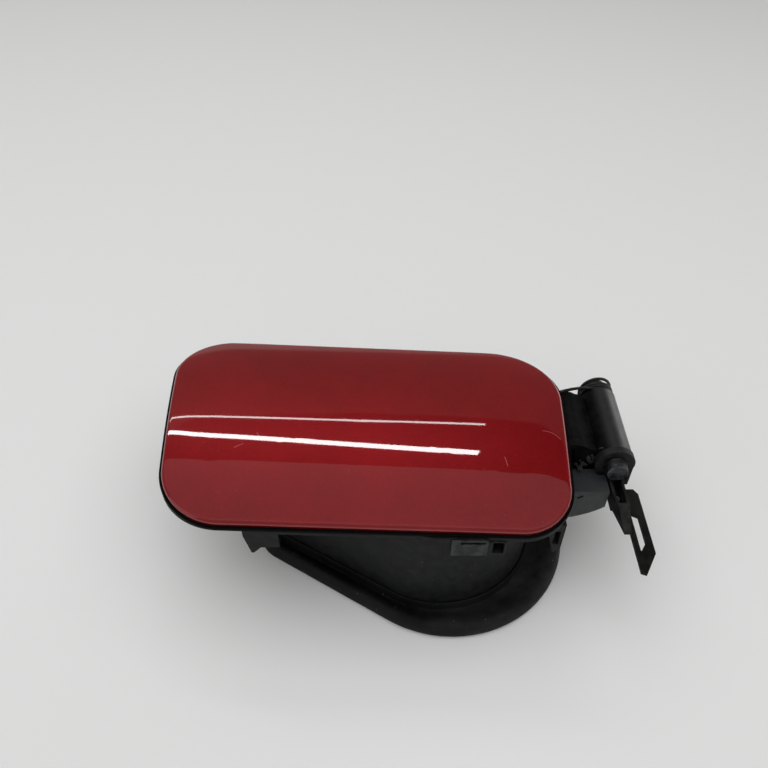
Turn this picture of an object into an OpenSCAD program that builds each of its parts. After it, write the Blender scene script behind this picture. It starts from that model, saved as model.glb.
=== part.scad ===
// Fuel filler door with its pocket: a painted flap on a gooseneck arm, a moulded pocket with
// the filler neck opening, a soft lip seal, a sprung hinge, a latch and a slotted fixing tongue.
// Origin: axis of the filler neck, on the plane that the lip seal rests on.
// +X points to the hinge, +Y runs along the hinge pin away from its head, +Z out of the flap.

/* [Flap outline] */
// Overall width of the painted skin
flap_w = 204.5; // [180:0.5:240]
// Overall depth of the painted skin
flap_d = 127.5; // [108:0.5:150]
// Distance from the neck axis to the edge at the hinge
flap_right = 63.5; // [54:0.5:76]
// Distance from the neck axis to the front edge
flap_front = 49; // [42:0.5:58]
// How far the front edge falls back at the latch side
front_lean = 4.5; // [0:0.5:8]
// How far the back edge falls back at the hinge side
back_lean = 10.5; // [0:0.5:14]
// How far the latch side edge falls back at the front
left_lean = 6; // [0:0.5:10]
// How far the hinge side edge falls back at the front
right_lean = 4; // [0:0.5:8]
// Corner radius at the front, latch side
corner_front_left = 32; // [22:0.5:40]
// Corner radius at the front, hinge side
corner_front_right = 25; // [18:0.5:32]
// Corner radius at the back, hinge side
corner_back_right = 38; // [28:0.5:46]
// Corner radius at the back, latch side
corner_back_left = 27; // [20:0.5:36]

/* [Flap section] */
// Height of the crown above the resting plane
flap_top = 80.6; // [77:0.1:98]
// Radius of the crown across the flap
crown_r = 330; // [300:5:420]
// Place of the crown line behind the neck axis
crown_y = 15; // [10:0.5:20]
// Height from the crown down to the lower edge of the rim
flap_depth = 10.6; // [10.2:0.1:13]
// Thickness of the painted skin
skin_t = 1.2; // [0.8:0.05:1.6]
// Height of the skin's folded edge below its inner face
hem_h = 2; // [1.5:0.1:2.6]
// Thickness of the inner carrier
carrier_t = 1.8; // [1.4:0.1:2.4]
// How far the black rim stands out past the skin
rim_out = 1.3; // [1:0.1:3]
// Thickness of the carrier's ribs
rib_t = 1.6; // [1.2:0.1:2.2]
// Spacing of the carrier's ribs
rib_pitch = 30; // [24:1:40]

/* [Pocket] */
// Outer radius of the bowl round the neck
bowl_r = 49.5; // [43:0.5:56]
// Distance from the neck axis to the centre of the bowl's narrow end
tail_reach = 78; // [66:0.5:86]
// Outer radius of the bowl's narrow end
tail_r = 10; // [8.5:0.5:12]
// Thickness of the pocket's walls
wall_t = 2.2; // [1.8:0.1:3]
// Thickness of the shelf under the flap
shelf_t = 2.5; // [2:0.1:3.2]
// How far the shelf's front edge stands out past the skin
shelf_out = 1; // [0:0.1:1.2]
// Gap between the shelf and the flap's rim
rim_gap = 0.5; // [0.4:0.1:1.2]
// Height of the floor's underside
floor_z = 2; // [1.6:0.1:3]
// Radius of the drain hole in the floor
drain_r = 3; // [2.4:0.1:4]
// Radius of the rounded well under the gooseneck
well_r = 39.5; // [36:0.5:44]
// Height of the well's lowest point
well_low = 33.5; // [31:0.5:37]
// Depth of the open well below the hinge axis
well_rim_drop = 7.5; // [7:0.5:9]

/* [Lip seal] */
// How far the lip reaches past the bowl's wall
lip_reach = 14; // [11:0.5:18]
// Shift of the lip towards the hinge
lip_shift = 6; // [2:0.5:7]
// Height of the lip's roll
roll_h = 10.5; // [8.5:0.5:13]
// Thickness of the web between the bowl and the roll
web_t = 2.5; // [2:0.1:3.2]
// Height of the collar that grips the bowl
collar_h = 8; // [6:0.5:10]

/* [Neck seal] */
// Radius of the bore that takes the filler neck
neck_r = 25; // [21:0.5:29]
// Wall of the neck seal's sleeve
sleeve_t = 3.5; // [2.8:0.1:4.2]
// Height of the neck seal's sleeve
sleeve_h = 14; // [11:0.5:18]

/* [Hinge] */
// Distance from the flap's edge to the hinge axis
hinge_gap = 23.8; // [21:0.1:28]
// Depth of the hinge axis below the crown
hinge_drop = 16.6; // [15.5:0.1:19]
// Outer radius of the barrel
barrel_r = 9.5; // [8.5:0.1:11]
// Length of the barrel
barrel_l = 41; // [34:0.5:50]
// Place of the barrel's front end
barrel_y = 1; // [-4:0.5:4]
// Bore of the barrel, as a radius
barrel_bore_r = 5; // [4.2:0.1:5.8]
// Radius of the spigot that carries the spring
spigot_r = 7.2; // [6.2:0.1:7.6]
// Length of the spigot
spigot_l = 6.5; // [5.5:0.1:8]
// Thickness of the arm's plate
arm_t = 3; // [2.5:0.1:3.6]
// How much narrower the arm's plate is than the barrel is long
arm_short = 3; // [2.5:0.5:8]
// Length of the arm's plate under the flap
arm_root = 34; // [28:0.5:40]
// Radius of the hinge pin
pin_r = 3; // [2.5:0.1:3.4]
// Radius of the pin's head at its face
head_r = 5.2; // [4.6:0.1:6]
// Length of the pin's head
head_l = 5.4; // [4.5:0.1:8]
// Length of the plain bushes
bush_l = 12; // [9:0.5:15]
// Diameter of the torsion spring's wire
wire_d = 1.6; // [1.3:0.1:1.8]
// Turns of the torsion spring
spring_turns = 3; // [2:1:3]

/* [Hinge bracket] */
// Thickness of the front ear
ear_t = 3.7; // [3:0.1:4.5]
// Outer radius of the front ear
ear_r = 10; // [9:0.1:11.5]
// Thickness of the back ear
back_ear_t = 3; // [2.4:0.1:3.6]
// Thickness of the plate that carries the ears
back_plate_t = 3; // [2.4:0.1:3.6]
// Width of the box tab
tab_w = 7.1; // [6.8:0.1:9.2]
// Length of the box tab
tab_l = 30; // [26:0.5:36]
// Height of the box tab
tab_h = 9; // [7.5:0.1:10.5]
// Wall of the box tab
tab_wall = 1.4; // [1.2:0.1:1.5]

/* [Fixing tongue] */
// Width of the tongue
tongue_w = 9.3; // [8:0.1:10.5]
// Length of the tongue
tongue_l = 49; // [46:0.5:58]
// Thickness of the tongue
tongue_t = 2; // [1.6:0.1:2.4]
// Width of the slot
slot_w = 3.5; // [3:0.1:4]
// Length of the slot
slot_l = 21.8; // [17:0.1:24]
// Length of the thick head of the tongue
tongue_head_l = 15; // [13:0.5:17]
// Thickness of the head of the tongue
tongue_head_t = 3; // [2.6:0.1:4]
// Radius of the rivets of the tongue and the striker
rivet_r = 1.5; // [1.2:0.1:1.6]

/* [Latch] */
// Length of the latch body
latch_l = 20; // [18:0.5:24]
// Width of the latch body
latch_w = 20; // [17:0.5:23]
// Height of the latch body
latch_h = 14; // [12.5:0.5:16]
// Radius of the latch bolt
bolt_r = 3; // [2.5:0.1:3.5]
// Travel of the latch bolt
bolt_travel = 4; // [3.5:0.1:4.5]
// Gap between the bowl's narrow end and the latch body
latch_gap = 4.25; // [2:0.25:6]
// Width of the striker
striker_w = 12; // [11:0.5:13]
// Thickness of the striker
striker_t = 2.5; // [2:0.1:3]

/* [Hidden] */
$fn = 96;

black = "#1c1d1f";
grey = "#34373a";
rubber = "#26272a";
steel = "#8d9196";
red = "#8c0f1c";

far = 200;             // longer than any cut
seat_gap = 0.3;        // gap between a soft piece and its seat
run_gap = 0.05;        // radial clearance of the pin in its bushes
fit_gap = 0.02;        // radial clearance of pieces that are pressed or riveted in
panel_gap = 0.2;       // gap between the skin and the carrier
edge_inset = 0.01;     // keeps a straight edge just inside the arcs that it joins

// Corner circles of the painted skin: centre x, centre y, radius
flap_left = flap_right - flap_w;
flap_back = flap_d - flap_front;
flap_corners = [
  [flap_left + left_lean + corner_front_left, -flap_front + front_lean + corner_front_left,
   corner_front_left],
  [flap_right - right_lean - corner_front_right, -flap_front + corner_front_right,
   corner_front_right],
  [flap_right - corner_back_right, flap_back - back_lean - corner_back_right,
   corner_back_right],
  [flap_left + corner_back_left, flap_back - corner_back_left, corner_back_left]
];

// Heights of the flap and the shelf
rim_z = flap_top - flap_depth;
shelf_top = rim_z - rim_gap;
shelf_z = shelf_top - shelf_t;
hem_drop = skin_t + hem_h;
pan_drop = skin_t + panel_gap + carrier_t;

// Corner circles of the shelf: it stays under the rim at the front, the back and the hinge,
// and its front corner at the latch is cut back
shelf_front = flap_front + shelf_out;
shelf_inset = 6;
shelf_cut_x = flap_left + 46;
shelf_cut_r = 8;
shelf_corners = [
  [shelf_cut_x + shelf_cut_r, -shelf_front + front_lean + shelf_cut_r, shelf_cut_r],
  [flap_right - right_lean - corner_front_right, -shelf_front + corner_front_right,
   corner_front_right],
  [flap_right - corner_back_right, flap_back - back_lean - corner_back_right,
   corner_back_right - 2],
  [flap_left + corner_back_left, flap_back - corner_back_left,
   corner_back_left - shelf_inset],
  [flap_left + 40, crown_y - 8, 40 - 2 * shelf_inset]
];

// Teardrop of the bowl and of the lip
bowl = [[0, 0, bowl_r], [-tail_reach, 0, tail_r]];
lip_r = bowl_r + lip_reach;
lip_tail_r = tail_r + lip_reach - 3.5;
lip_tail_x = 0.5 - tail_reach;
floor_t = wall_t;
floor_top = floor_z + floor_t;
floor_rim = 2.2;

// Hinge
hinge_x = flap_right + hinge_gap;
hinge_z = flap_top - hinge_drop;
barrel_end = barrel_y + barrel_l;
arm_y = barrel_y + 1;
arm_z = rim_z + 0.5;
arm_w = barrel_l - arm_short;
arm_mid = arm_y + arm_w / 2;
arm_left = flap_right - arm_root;
front_ear_y = barrel_y - seat_gap - ear_t;
back_ear_y = barrel_end + spigot_l + 0.5;
pin_end = back_ear_y + back_ear_t + 2.6;
back_ear_r = spigot_r - 1.2;

// Well under the gooseneck
well_x = hinge_x - 30;
well_z = well_low + well_r;
well_left = bowl_r - 1.5;
well_right = hinge_x - 3.3;
well_front = front_ear_y - 11;
well_back = back_ear_y + back_ear_t + 2;
well_rim = hinge_z - well_rim_drop;
well_bottom = well_z - sqrt(pow(well_r, 2) - pow(well_right - well_x, 2));
well_mouth = flap_right - 2.5;
well_lid_end = barrel_y - 0.4;

// Hinge bracket
plate_top = hinge_z - max(barrel_r, ear_r) - 0.8;
plate_z = well_bottom + 0.4;
ear_right = hinge_x + ear_r - 0.3;
tab_x = hinge_x - 2.1;
tab_z = plate_z + 3;
tab_end = front_ear_y - tab_l;

// Fixing tongue
tongue_x = tab_x + tab_w;
tongue_z = tab_z - tongue_t;
tongue_y = front_ear_y - 2.5;
tongue_tip = tongue_y - tongue_l;
rail_w = 2.5;
slot_y = tongue_y - tongue_head_l;
rivet_y = tongue_y - tongue_head_l / 2;
rivet_x = tab_x + tab_w / 2;

// Latch
latch_y = crown_y - 3;
latch_z = shelf_z - latch_h / 2 + 0.5;
latch_right = -tail_reach - tail_r - latch_gap;
latch_left = latch_right - latch_l;
striker_x = latch_left - bolt_travel + 1 - striker_t / 2;
latch_wall = 3;
collar_r = bolt_r + 1.6;
collar_t = 2;
chamber_l = latch_l - 2 * latch_wall;
latch_wire = 0.9;
striker_slot = 2 * bolt_r + 2;
striker_low = latch_z - bolt_r - 3;
bolt_tip = striker_x + striker_t / 2 + 0.6;

// Pad, clip and snap legs of the pocket
pad_x = 2;
pad_w = 25.5;
pad_h = 10;
pad_front = max(shelf_front, bowl_r) + 0.1;
clip_t = 0.8;
clip_w = 16.8;
window_w = 5.2;
window_x = 19.2;
leg_w = 7;
leg_t = 2.4;
leg_drop = 22.5;

// Angle of the outward normal of the tangent from circle a to circle b
function tangent_angle(a, b) =
  atan2(b[1] - a[1], b[0] - a[0]) - acos((a[2] - b[2]) / norm([b[0] - a[0], b[1] - a[1]]));

function on_circle(c, angle, inset = 0) =
  [c[0] + (c[2] - inset) * cos(angle), c[1] + (c[2] - inset) * sin(angle)];

// Outline round a ring of circles, listed anticlockwise, with true arcs at the corners
module round_outline(circles, grow = 0) {
  grown = [for (c = circles) [c[0], c[1], c[2] + grow]];
  count = len(grown);
  for (c = grown) translate([c[0], c[1]]) circle(c[2]);
  polygon([
    for (i = [0:count - 1])
      let (a = grown[i], b = grown[(i + 1) % count], t = tangent_angle(a, b))
        each [on_circle(a, t, edge_inset), on_circle(b, t, edge_inset)]
  ]);
}

// Upright prism of an outline between two heights
module prism(circles, grow, z0, z1) {
  translate([0, 0, z0]) linear_extrude(z1 - z0) round_outline(circles, grow);
}

// Everything below the crowned surface, lowered by a drop
module under_crown(drop) {
  depth = 24 + drop;
  translate([flap_left - 20, crown_y, flap_top]) rotate([90, 0, 90]) linear_extrude(flap_w + 40)
    intersection() {
      translate([0, -crown_r]) circle(crown_r - drop, $fn = 720);
      translate([-far / 2, -depth]) square([far, depth + 1]);
    }
}

// Cylinder along Y between two places, at the hinge axis
module hinge_cylinder(r, y0, y1) {
  translate([hinge_x, y1, hinge_z]) rotate([90, 0, 0]) cylinder(r = r, h = y1 - y0);
}

// Solid with its outline in the XZ plane, between two places along Y
module along_y(y0, y1) {
  translate([0, y1, 0]) rotate([90, 0, 0]) linear_extrude(y1 - y0) children();
}

// Stroke of constant width through points, with round joints
module stroke(points, width) {
  for (i = [0:len(points) - 2]) {
    a = points[i];
    b = points[i + 1];
    translate(a) rotate(atan2(b[1] - a[1], b[0] - a[0]))
      translate([0, edge_inset - width / 2]) square([norm(b - a), width - 2 * edge_inset]);
  }
  for (p = points) translate(p) circle(width / 2, $fn = 48);
}

// Round wire swept through points; side is a direction that the wire never points along
module wire(points, d, side, sides = 8) {
  last = len(points) - 1;
  function heading(i) = points[min(i + 1, last)] - points[max(i - 1, 0)];
  function unit(v) = v / norm(v);
  rings = [
    for (i = [0:last])
      let (t = unit(heading(i)), n = unit(cross(t, side)), m = cross(t, n))
        for (k = [0:sides - 1])
          points[i] + d / 2 * (n * cos(360 * k / sides) + m * sin(360 * k / sides))
  ];
  walls = [
    for (i = [0:last - 1], k = [0:sides - 1])
      let (a = i * sides + k, b = i * sides + (k + 1) % sides)
        each [[a, a + sides, b + sides], [a, b + sides, b]]
  ];
  start_cap = [for (k = [0:sides - 1]) k];
  end_cap = [for (k = [sides - 1:-1:0]) last * sides + k];
  polyhedron(rings, concat(walls, [start_cap, end_cap]), convexity = 6);
}

// Painted skin, crowned from front to back, with its edge folded down
module outer_panel() {
  color(red) intersection() {
    prism(flap_corners, 0, flap_top - 20, flap_top + 5);
    difference() {
      under_crown(0);
      intersection() {
        under_crown(skin_t);
        prism(flap_corners, -skin_t, flap_top - 20, flap_top + 5);
      }
      under_crown(hem_drop);
    }
  }
}

// Places of the screws that hold the arm, as offsets from the arm's end and middle
screw_edge = 6;
function arm_screw_places() = [
  for (x = [arm_left + screw_edge, arm_left + arm_root - 3 * screw_edge / 2],
       y = [arm_mid - arm_w / 2 + screw_edge, arm_mid + arm_w / 2 - screw_edge]) [x, y]
];
screw_r = 2;
boss_r = 3.6;
stop_r = 4;
stop_places = [[flap_left + 30, crown_y - 25], [flap_left + 30, crown_y + 33]];
striker_foot = 14;

// Ribs and bosses on the inside of the carrier, as one flat pattern
module carrier_ribs() {
  difference() {
    union() {
      for (x = [flap_left + rib_pitch / 2:rib_pitch:flap_right])
        translate([x - rib_t / 2, -far / 2]) square([rib_t, far]);
      for (y = [crown_y - rib_pitch, crown_y, crown_y + rib_pitch])
        translate([-far, y - rib_t / 2]) square([2 * far, rib_t]);
    }
    // room for the arm and the striker's foot
    translate([arm_left - 2, arm_y - 2]) square([far, arm_w + 4]);
    translate([striker_x - striker_t, latch_y - striker_w / 2 - 1])
      square([striker_foot + 2 * striker_t, striker_w + 2]);
  }
}

// Black inner carrier: a pan under the skin, a rim that stands out past it, ribs and bosses
module inner_carrier() {
  inner = -skin_t - panel_gap;
  rim_wall = inner - carrier_t;
  color(black) difference() {
    union() {
      difference() {
        union() {
          intersection() {
            prism(flap_corners, inner, rim_z, flap_top + 5);
            under_crown(skin_t + panel_gap);
          }
          intersection() {
            prism(flap_corners, rim_out, rim_z, flap_top + 5);
            under_crown(hem_drop + panel_gap);
          }
        }
        intersection() {
          prism(flap_corners, rim_wall, rim_z - 2, flap_top + 5);
          under_crown(pan_drop);
        }
      }
      // ribs and bosses reach down from the pan
      intersection() {
        prism(flap_corners, rim_wall + 0.1, rim_z, flap_top + 5);
        under_crown(pan_drop - 0.1);
        union() {
          translate([0, 0, rim_z + 3]) linear_extrude(far) carrier_ribs();
          for (p = arm_screw_places())
            translate([p[0], p[1], arm_z + arm_t]) cylinder(r = boss_r, h = far, $fn = 48);
          for (p = stop_places)
            translate([p[0], p[1], rim_z + 1.5]) cylinder(r = stop_r, h = far, $fn = 48);
          translate([striker_x - striker_t / 2, latch_y - striker_w / 2, rim_z + 2 + striker_t])
            cube([striker_foot, striker_w, far]);
        }
      }
    }
    // notch for the arm, holes for screws, rivets and bump stops
    translate([arm_left, arm_y - 0.6, 0]) intersection() {
      cube([far, arm_w + 1.2, arm_z + arm_t + 2.4]);
      translate([arm_root - 6, 0, 0]) cube([far, far, far]);
    }
    for (p = arm_screw_places())
      translate([p[0], p[1], arm_z]) cylinder(r = screw_r - 0.4, h = arm_t + 2.5, $fn = 32);
    for (p = stop_places)
      translate([p[0], p[1], 0]) cylinder(r = 2, h = rim_z + 4.5, $fn = 32);
    for (p = striker_rivet_places())
      translate([p[0], p[1], 0]) cylinder(r = rivet_r, h = rim_z + 7, $fn = 32);
    for (dx = [-cap_grip_w / 2, cap_grip_w / 2])
      translate([cap_x + dx, cap_y, 0]) cylinder(r = 1.5, h = far, $fn = 32);
  }
}

// Gooseneck arm: flat plate under the flap, a bend down to the barrel, side webs, spigot
module hinge_arm() {
  bend_x = flap_right + 3;
  mid_z = arm_z + arm_t / 2;
  web_w = 2.4;
  low = [hinge_x - barrel_r + 2.5, hinge_z + 1.5];
  color(black) difference() {
    union() {
      along_y(arm_y, arm_y + arm_w)
        stroke([[arm_left + arm_t / 2, mid_z], [bend_x, mid_z],
                [bend_x + 4, mid_z - 0.9], low], arm_t);
      for (y = [arm_y, arm_y + arm_w - web_w])
        along_y(y, y + web_w)
          polygon([[flap_right + 2.6, mid_z], [bend_x + 4, mid_z - 0.6], low,
                   [hinge_x - barrel_r + 1.2, hinge_z - 8], [flap_right + 6.5, hinge_z - 12.5]]);
      hinge_cylinder(barrel_r, barrel_y, barrel_end);
      hinge_cylinder(spigot_r, barrel_y, barrel_end + spigot_l);
    }
    hinge_cylinder(barrel_bore_r, barrel_y - 1, barrel_end + spigot_l + 1);
    for (p = arm_screw_places()) translate([p[0], p[1], arm_z]) {
      translate([0, 0, -1]) cylinder(r = screw_r + 0.1, h = arm_t + 2, $fn = 32);
      translate([0, 0, -0.01])
        cylinder(r1 = 2 * screw_r + 0.1, r2 = screw_r + 0.1, h = screw_r, $fn = 32);
    }
    // hole for the end of the spring's leg
    translate([spring_hook[0], spring_hook[1], 0]) cylinder(r = wire_d / 2 + 0.2, h = far, $fn = 32);
  }
}

// Countersunk screws that hold the arm to the carrier
module arm_screws() {
  color(steel) for (p = arm_screw_places()) translate([p[0], p[1], arm_z]) difference() {
    union() {
      cylinder(r = screw_r - 0.4 - fit_gap, h = arm_t + 2.2, $fn = 32);
      cylinder(r = screw_r, h = arm_t, $fn = 32);
      cylinder(r1 = 2 * screw_r, r2 = screw_r, h = screw_r, $fn = 32);
    }
    translate([0, 0, -1]) cylinder(r = 1.2, h = 2, $fn = 6);
  }
}

// Plain flanged bush at one end of the barrel
module bush(y0, y1) {
  difference() {
    hinge_cylinder(barrel_bore_r - fit_gap, y0, y1);
    hinge_cylinder(pin_r + run_gap, y0 - 1, y1 + 1);
  }
}
module front_bush() {
  color("#cfcabd") bush(barrel_y, barrel_y + bush_l);
}
module rear_bush() {
  color("#cfcabd") bush(barrel_end + spigot_l - bush_l, barrel_end + spigot_l);
}

function striker_rivet_places() = [
  for (dy = [-striker_w / 4, striker_w / 4])
    [striker_x + striker_foot - striker_t / 2 - 3.5, latch_y + dy]
];

// Bent steel striker on the flap, with the window that the latch bolt enters
module striker() {
  foot_z = rim_z + 2;
  color(steel) difference() {
    union() {
      translate([striker_x - striker_t / 2, latch_y - striker_w / 2, foot_z])
        cube([striker_foot, striker_w, striker_t]);
      translate([striker_x - striker_t / 2, latch_y - striker_w / 2, striker_low])
        cube([striker_t, striker_w, foot_z + striker_t - striker_low]);
    }
    translate([striker_x - striker_t, latch_y - striker_slot / 2, latch_z - striker_slot / 2])
      cube([2 * striker_t, striker_slot, striker_slot]);
    for (p = striker_rivet_places())
      translate([p[0], p[1], 0]) cylinder(r = rivet_r + fit_gap, h = far, $fn = 32);
  }
}
module striker_rivets() {
  foot_z = rim_z + 2;
  color(steel) for (p = striker_rivet_places()) translate([p[0], p[1], foot_z]) {
    cylinder(r = rivet_r - fit_gap, h = striker_t + 2, $fn = 32);
    translate([0, 0, -1]) cylinder(r = 2 * rivet_r - 0.4, h = 1, $fn = 32);
  }
}

// Rubber bump stop: a stem in the carrier's boss and a pad over the shelf
module bump_stop(place) {
  color(rubber) translate([place[0], place[1], shelf_top + seat_gap]) {
    cylinder(r = stop_r, h = rim_z + 1.5 - shelf_top - seat_gap, $fn = 48);
    cylinder(r = 2 - fit_gap, h = rim_z + 4 - shelf_top - seat_gap, $fn = 32);
  }
}
module bump_stop_front() {
  bump_stop(stop_places[0]);
}
module bump_stop_back() {
  bump_stop(stop_places[1]);
}

// Forked holder on the inside of the flap that the cap is hung on while filling
cap_x = -20;
cap_y = crown_y - 15;
cap_grip_w = 22;
module cap_holder() {
  base_z = rim_z + 1.4;
  prong_z = rim_z - 8;
  color(black) {
    difference() {
      translate([cap_x - cap_grip_w / 2 - 4, cap_y - 4, base_z])
        cube([cap_grip_w + 8, 8, 1.6]);
      translate([cap_x, cap_y, 0]) cylinder(r = 3, h = far, $fn = 48);
    }
    for (side = [-1, 1]) {
      translate([cap_x + side * cap_grip_w / 2 - 1.1, cap_y - 4, prong_z])
        cube([2.2, 8, base_z - prong_z]);
      translate([cap_x + side * (cap_grip_w / 2 - 1.1) - 1, cap_y - 4, prong_z])
        cube([2, 8, 2]);
      translate([cap_x + side * cap_grip_w / 2, cap_y, base_z])
        cylinder(r = 1.5 - fit_gap, h = flap_top - skin_t - base_z - 1.4, $fn = 32);
    }
  }
}

// Cross section of the well under the gooseneck, in the XZ plane
module well_section(wall) {
  intersection() {
    translate([well_x, well_z]) circle(well_r - wall);
    translate([well_left + wall, 0]) square([well_right - well_left - 2 * wall, far]);
    union() {
      square([far, well_rim]);
      square([well_mouth, shelf_z + 0.1]);
    }
  }
}

// Moulded pocket: teardrop bowl, floor with the neck hole, shelf, well, clips and legs
module pocket_housing() {
  seat_r = neck_r + sleeve_t + seat_gap;
  color(black) difference() {
    union() {
      prism(bowl, 0, floor_z, shelf_z + 0.1);
      prism(bowl, floor_rim, floor_z, floor_top);
      prism(shelf_corners, 0, shelf_z, shelf_top);
      prism(bowl, 0.4, shelf_z, shelf_top);
      difference() {
        along_y(well_front, well_back) well_section(0);
        // the hollow, closed by a flat lid in front of the arm
        along_y(well_front + wall_t, well_back - wall_t) intersection() {
          well_section(wall_t);
          union() {
            square([far, well_rim - wall_t]);
            square([well_mouth - wall_t, far]);
          }
        }
        along_y(well_lid_end, well_back - wall_t)
          translate([well_mouth, well_rim - wall_t - 1])
            square([well_right - wall_t - well_mouth, far]);
        hinge_cylinder(max(barrel_r, ear_r, coil_r + wire_d / 2) + 0.5,
                       front_ear_y - seat_gap, well_back + 1);
      }
      // pad for the front clip, with a square window beside it
      translate([pad_x, -pad_front, shelf_z - pad_h]) cube([pad_w, 12, pad_h + 0.1]);
      corner_leg();
      tail_hook();
    }
    prism(bowl, -wall_t, floor_top, far);
    translate([0, 0, -1]) cylinder(r = seat_r, h = far);
    translate([-tail_reach * 0.75, 0, -1]) cylinder(r = drain_r, h = far, $fn = 48);
    pad_cuts();
    // window for the striker, holes for the latch screws
    translate([striker_x - striker_t / 2 - 3, latch_y - striker_w / 2 - 1.5, shelf_z - 1])
      cube([striker_t + 6, striker_w + 3, shelf_t + 2]);
    for (p = latch_screw_places())
      translate([p[0], p[1], shelf_z - 1]) cylinder(r = 1.7, h = shelf_t + 2, $fn = 32);
    // holes for the bracket screws, slot in the well's side
    for (y = bracket_screw_places())
      translate([well_right - 5, y, plate_mid]) rotate([0, 90, 0])
        cylinder(r = screw_r, h = 10, $fn = 32);
    translate([well_x + 11.7, well_front - 1, plate_mid + 2]) rotate([0, -35, 0])
      cube([3.2, wall_t + 2, 1.3]);
  }
}

// Open window in the front pad, beside the clip
module pad_cuts() {
  translate([pad_x + window_x, -pad_front - 1, shelf_z - pad_h + 1])
    cube([window_w, 9, pad_h - 1.6]);
}

// Slotted snap leg that hangs from the shelf's front corner at the hinge side
module corner_leg() {
  leg_x = flap_right - 14.5;
  leg_y = 8 - flap_front;
  rib_l = 6;
  translate([leg_x, leg_y, shelf_z]) difference() {
    union() {
      along_y(0, leg_t)
        polygon([[0, 0.1], [0, -0.4 * leg_drop], [0.5 * leg_w, -leg_drop],
                 [0.7 * leg_w, -leg_drop], [leg_w, -0.85 * leg_drop], [leg_w, 0.1]]);
      translate([leg_w - rib_t, 0, -0.85 * leg_drop]) cube([rib_t, rib_l, 0.85 * leg_drop + 0.1]);
      translate([0, 0, -0.4 * leg_drop]) cube([rib_t, rib_l, 0.4 * leg_drop + 0.1]);
    }
    translate([leg_w * 0.35, -1, -0.68 * leg_drop]) cube([leg_w * 0.4, leg_t + 2, 0.45 * leg_drop]);
  }
}

// Pointed snap hook and its stiffening box at the shelf's cut corner
module tail_hook() {
  hook_x = shelf_cut_x + 0.4;
  hook_y = 7.5 - shelf_front;
  box_x = 7.5;
  box_w = 9;
  box_drop = 16;
  box_l = 8;
  translate([hook_x, hook_y, shelf_z]) {
    along_y(0, 3)
      polygon([[0, 0.1], [0, -7], [2.4, -20.4], [3.6, -20.6], [box_x, -box_drop],
               [box_x + box_w, -box_drop], [box_x + box_w, 0.1]]);
    translate([box_x, 0, -box_drop]) difference() {
      cube([box_w, box_l, box_drop + 0.1]);
      translate([1.6, 3, 1.6]) cube([box_w, box_l, box_drop - 3.6]);
    }
  }
}

function bracket_screw_places() = [barrel_y + barrel_l * 0.2, barrel_y + barrel_l * 0.8];
plate_mid = (plate_z + plate_top) / 2;
function latch_screw_places() = [
  for (dy = [-1, 1]) [latch_right - latch_wall, latch_y + dy * (latch_w / 2 - 3)]
];

// Soft lip seal: a collar round the bowl, a web, and a roll that the pocket rests on
module lip_seal() {
  roll_r = 3.4;
  roll_low = 3;
  slope_w = 7;
  joint_l = 0.3;
  lip = [[lip_shift, 0, lip_r], [lip_tail_x, 0, lip_tail_r]];
  web_z = floor_top + seat_gap;
  turn = tangent_angle(lip[1], lip[0]);
  straight = sqrt(pow(lip_shift - lip_tail_x, 2) - pow(lip_r - lip_tail_r, 2));
  module roll_section(inset = 0) {
    roll_top = roll_h - roll_r;
    half = roll_r - edge_inset - inset;
    intersection() {
      union() {
        for (z = [roll_low, roll_top]) translate([-roll_r, z]) circle(roll_r - inset);
        translate([-roll_r - half, roll_low]) square([2 * half, roll_top - roll_low]);
        polygon([[-roll_r, roll_h - 0.4 - inset],
                 [-2 * roll_r - slope_w, web_z + web_t - 0.1 - inset],
                 [-2 * roll_r - slope_w, web_z + 0.1 + inset], [-roll_r, roll_low + inset]]);
      }
      translate([-far, inset]) square([2 * far, far]);
    }
  }
  module corner_sweep(c, from, angle) {
    translate([c[0], c[1], 0]) rotate([0, 0, from])
      rotate_extrude(angle = angle) translate([c[2], 0]) roll_section();
  }
  module straight_sweep() {
    translate([lip[1][0], lip[1][1], 0]) rotate([0, 0, turn])
      translate([lip[1][2], -joint_l, 0]) rotate([90, 0, 180]) mirror([1, 0, 0])
        linear_extrude(straight + 2 * joint_l) roll_section(0.02);
  }
  color(rubber) difference() {
    union() {
      corner_sweep(lip[0], turn, 2 * abs(turn));
      corner_sweep(lip[1], -turn, 360 - 2 * abs(turn));
      straight_sweep();
      mirror([0, 1, 0]) straight_sweep();
      prism(lip, -2 * roll_r - slope_w + 1.5, web_z, web_z + web_t);
      prism(bowl, seat_gap + 2.2, web_z, web_z + collar_h);
    }
    prism(bowl, seat_gap, -1, far);
    prism(bowl, floor_rim + seat_gap, -1, web_z);
  }
}

// Neck seal: a sleeve that the filler neck pushes into, gripping the floor with two flanges
module neck_seal() {
  outer = neck_r + sleeve_t;
  flange = 3.5;
  color(rubber) rotate_extrude() difference() {
    union() {
      translate([neck_r, 0]) square([sleeve_t, sleeve_h]);
      translate([neck_r, 0]) square([sleeve_t + flange, floor_z - seat_gap]);
      translate([neck_r, floor_top + seat_gap]) square([sleeve_t + flange, 2.2]);
    }
    translate([outer, sleeve_h]) circle(1.6, $fn = 48);
  }
}

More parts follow.
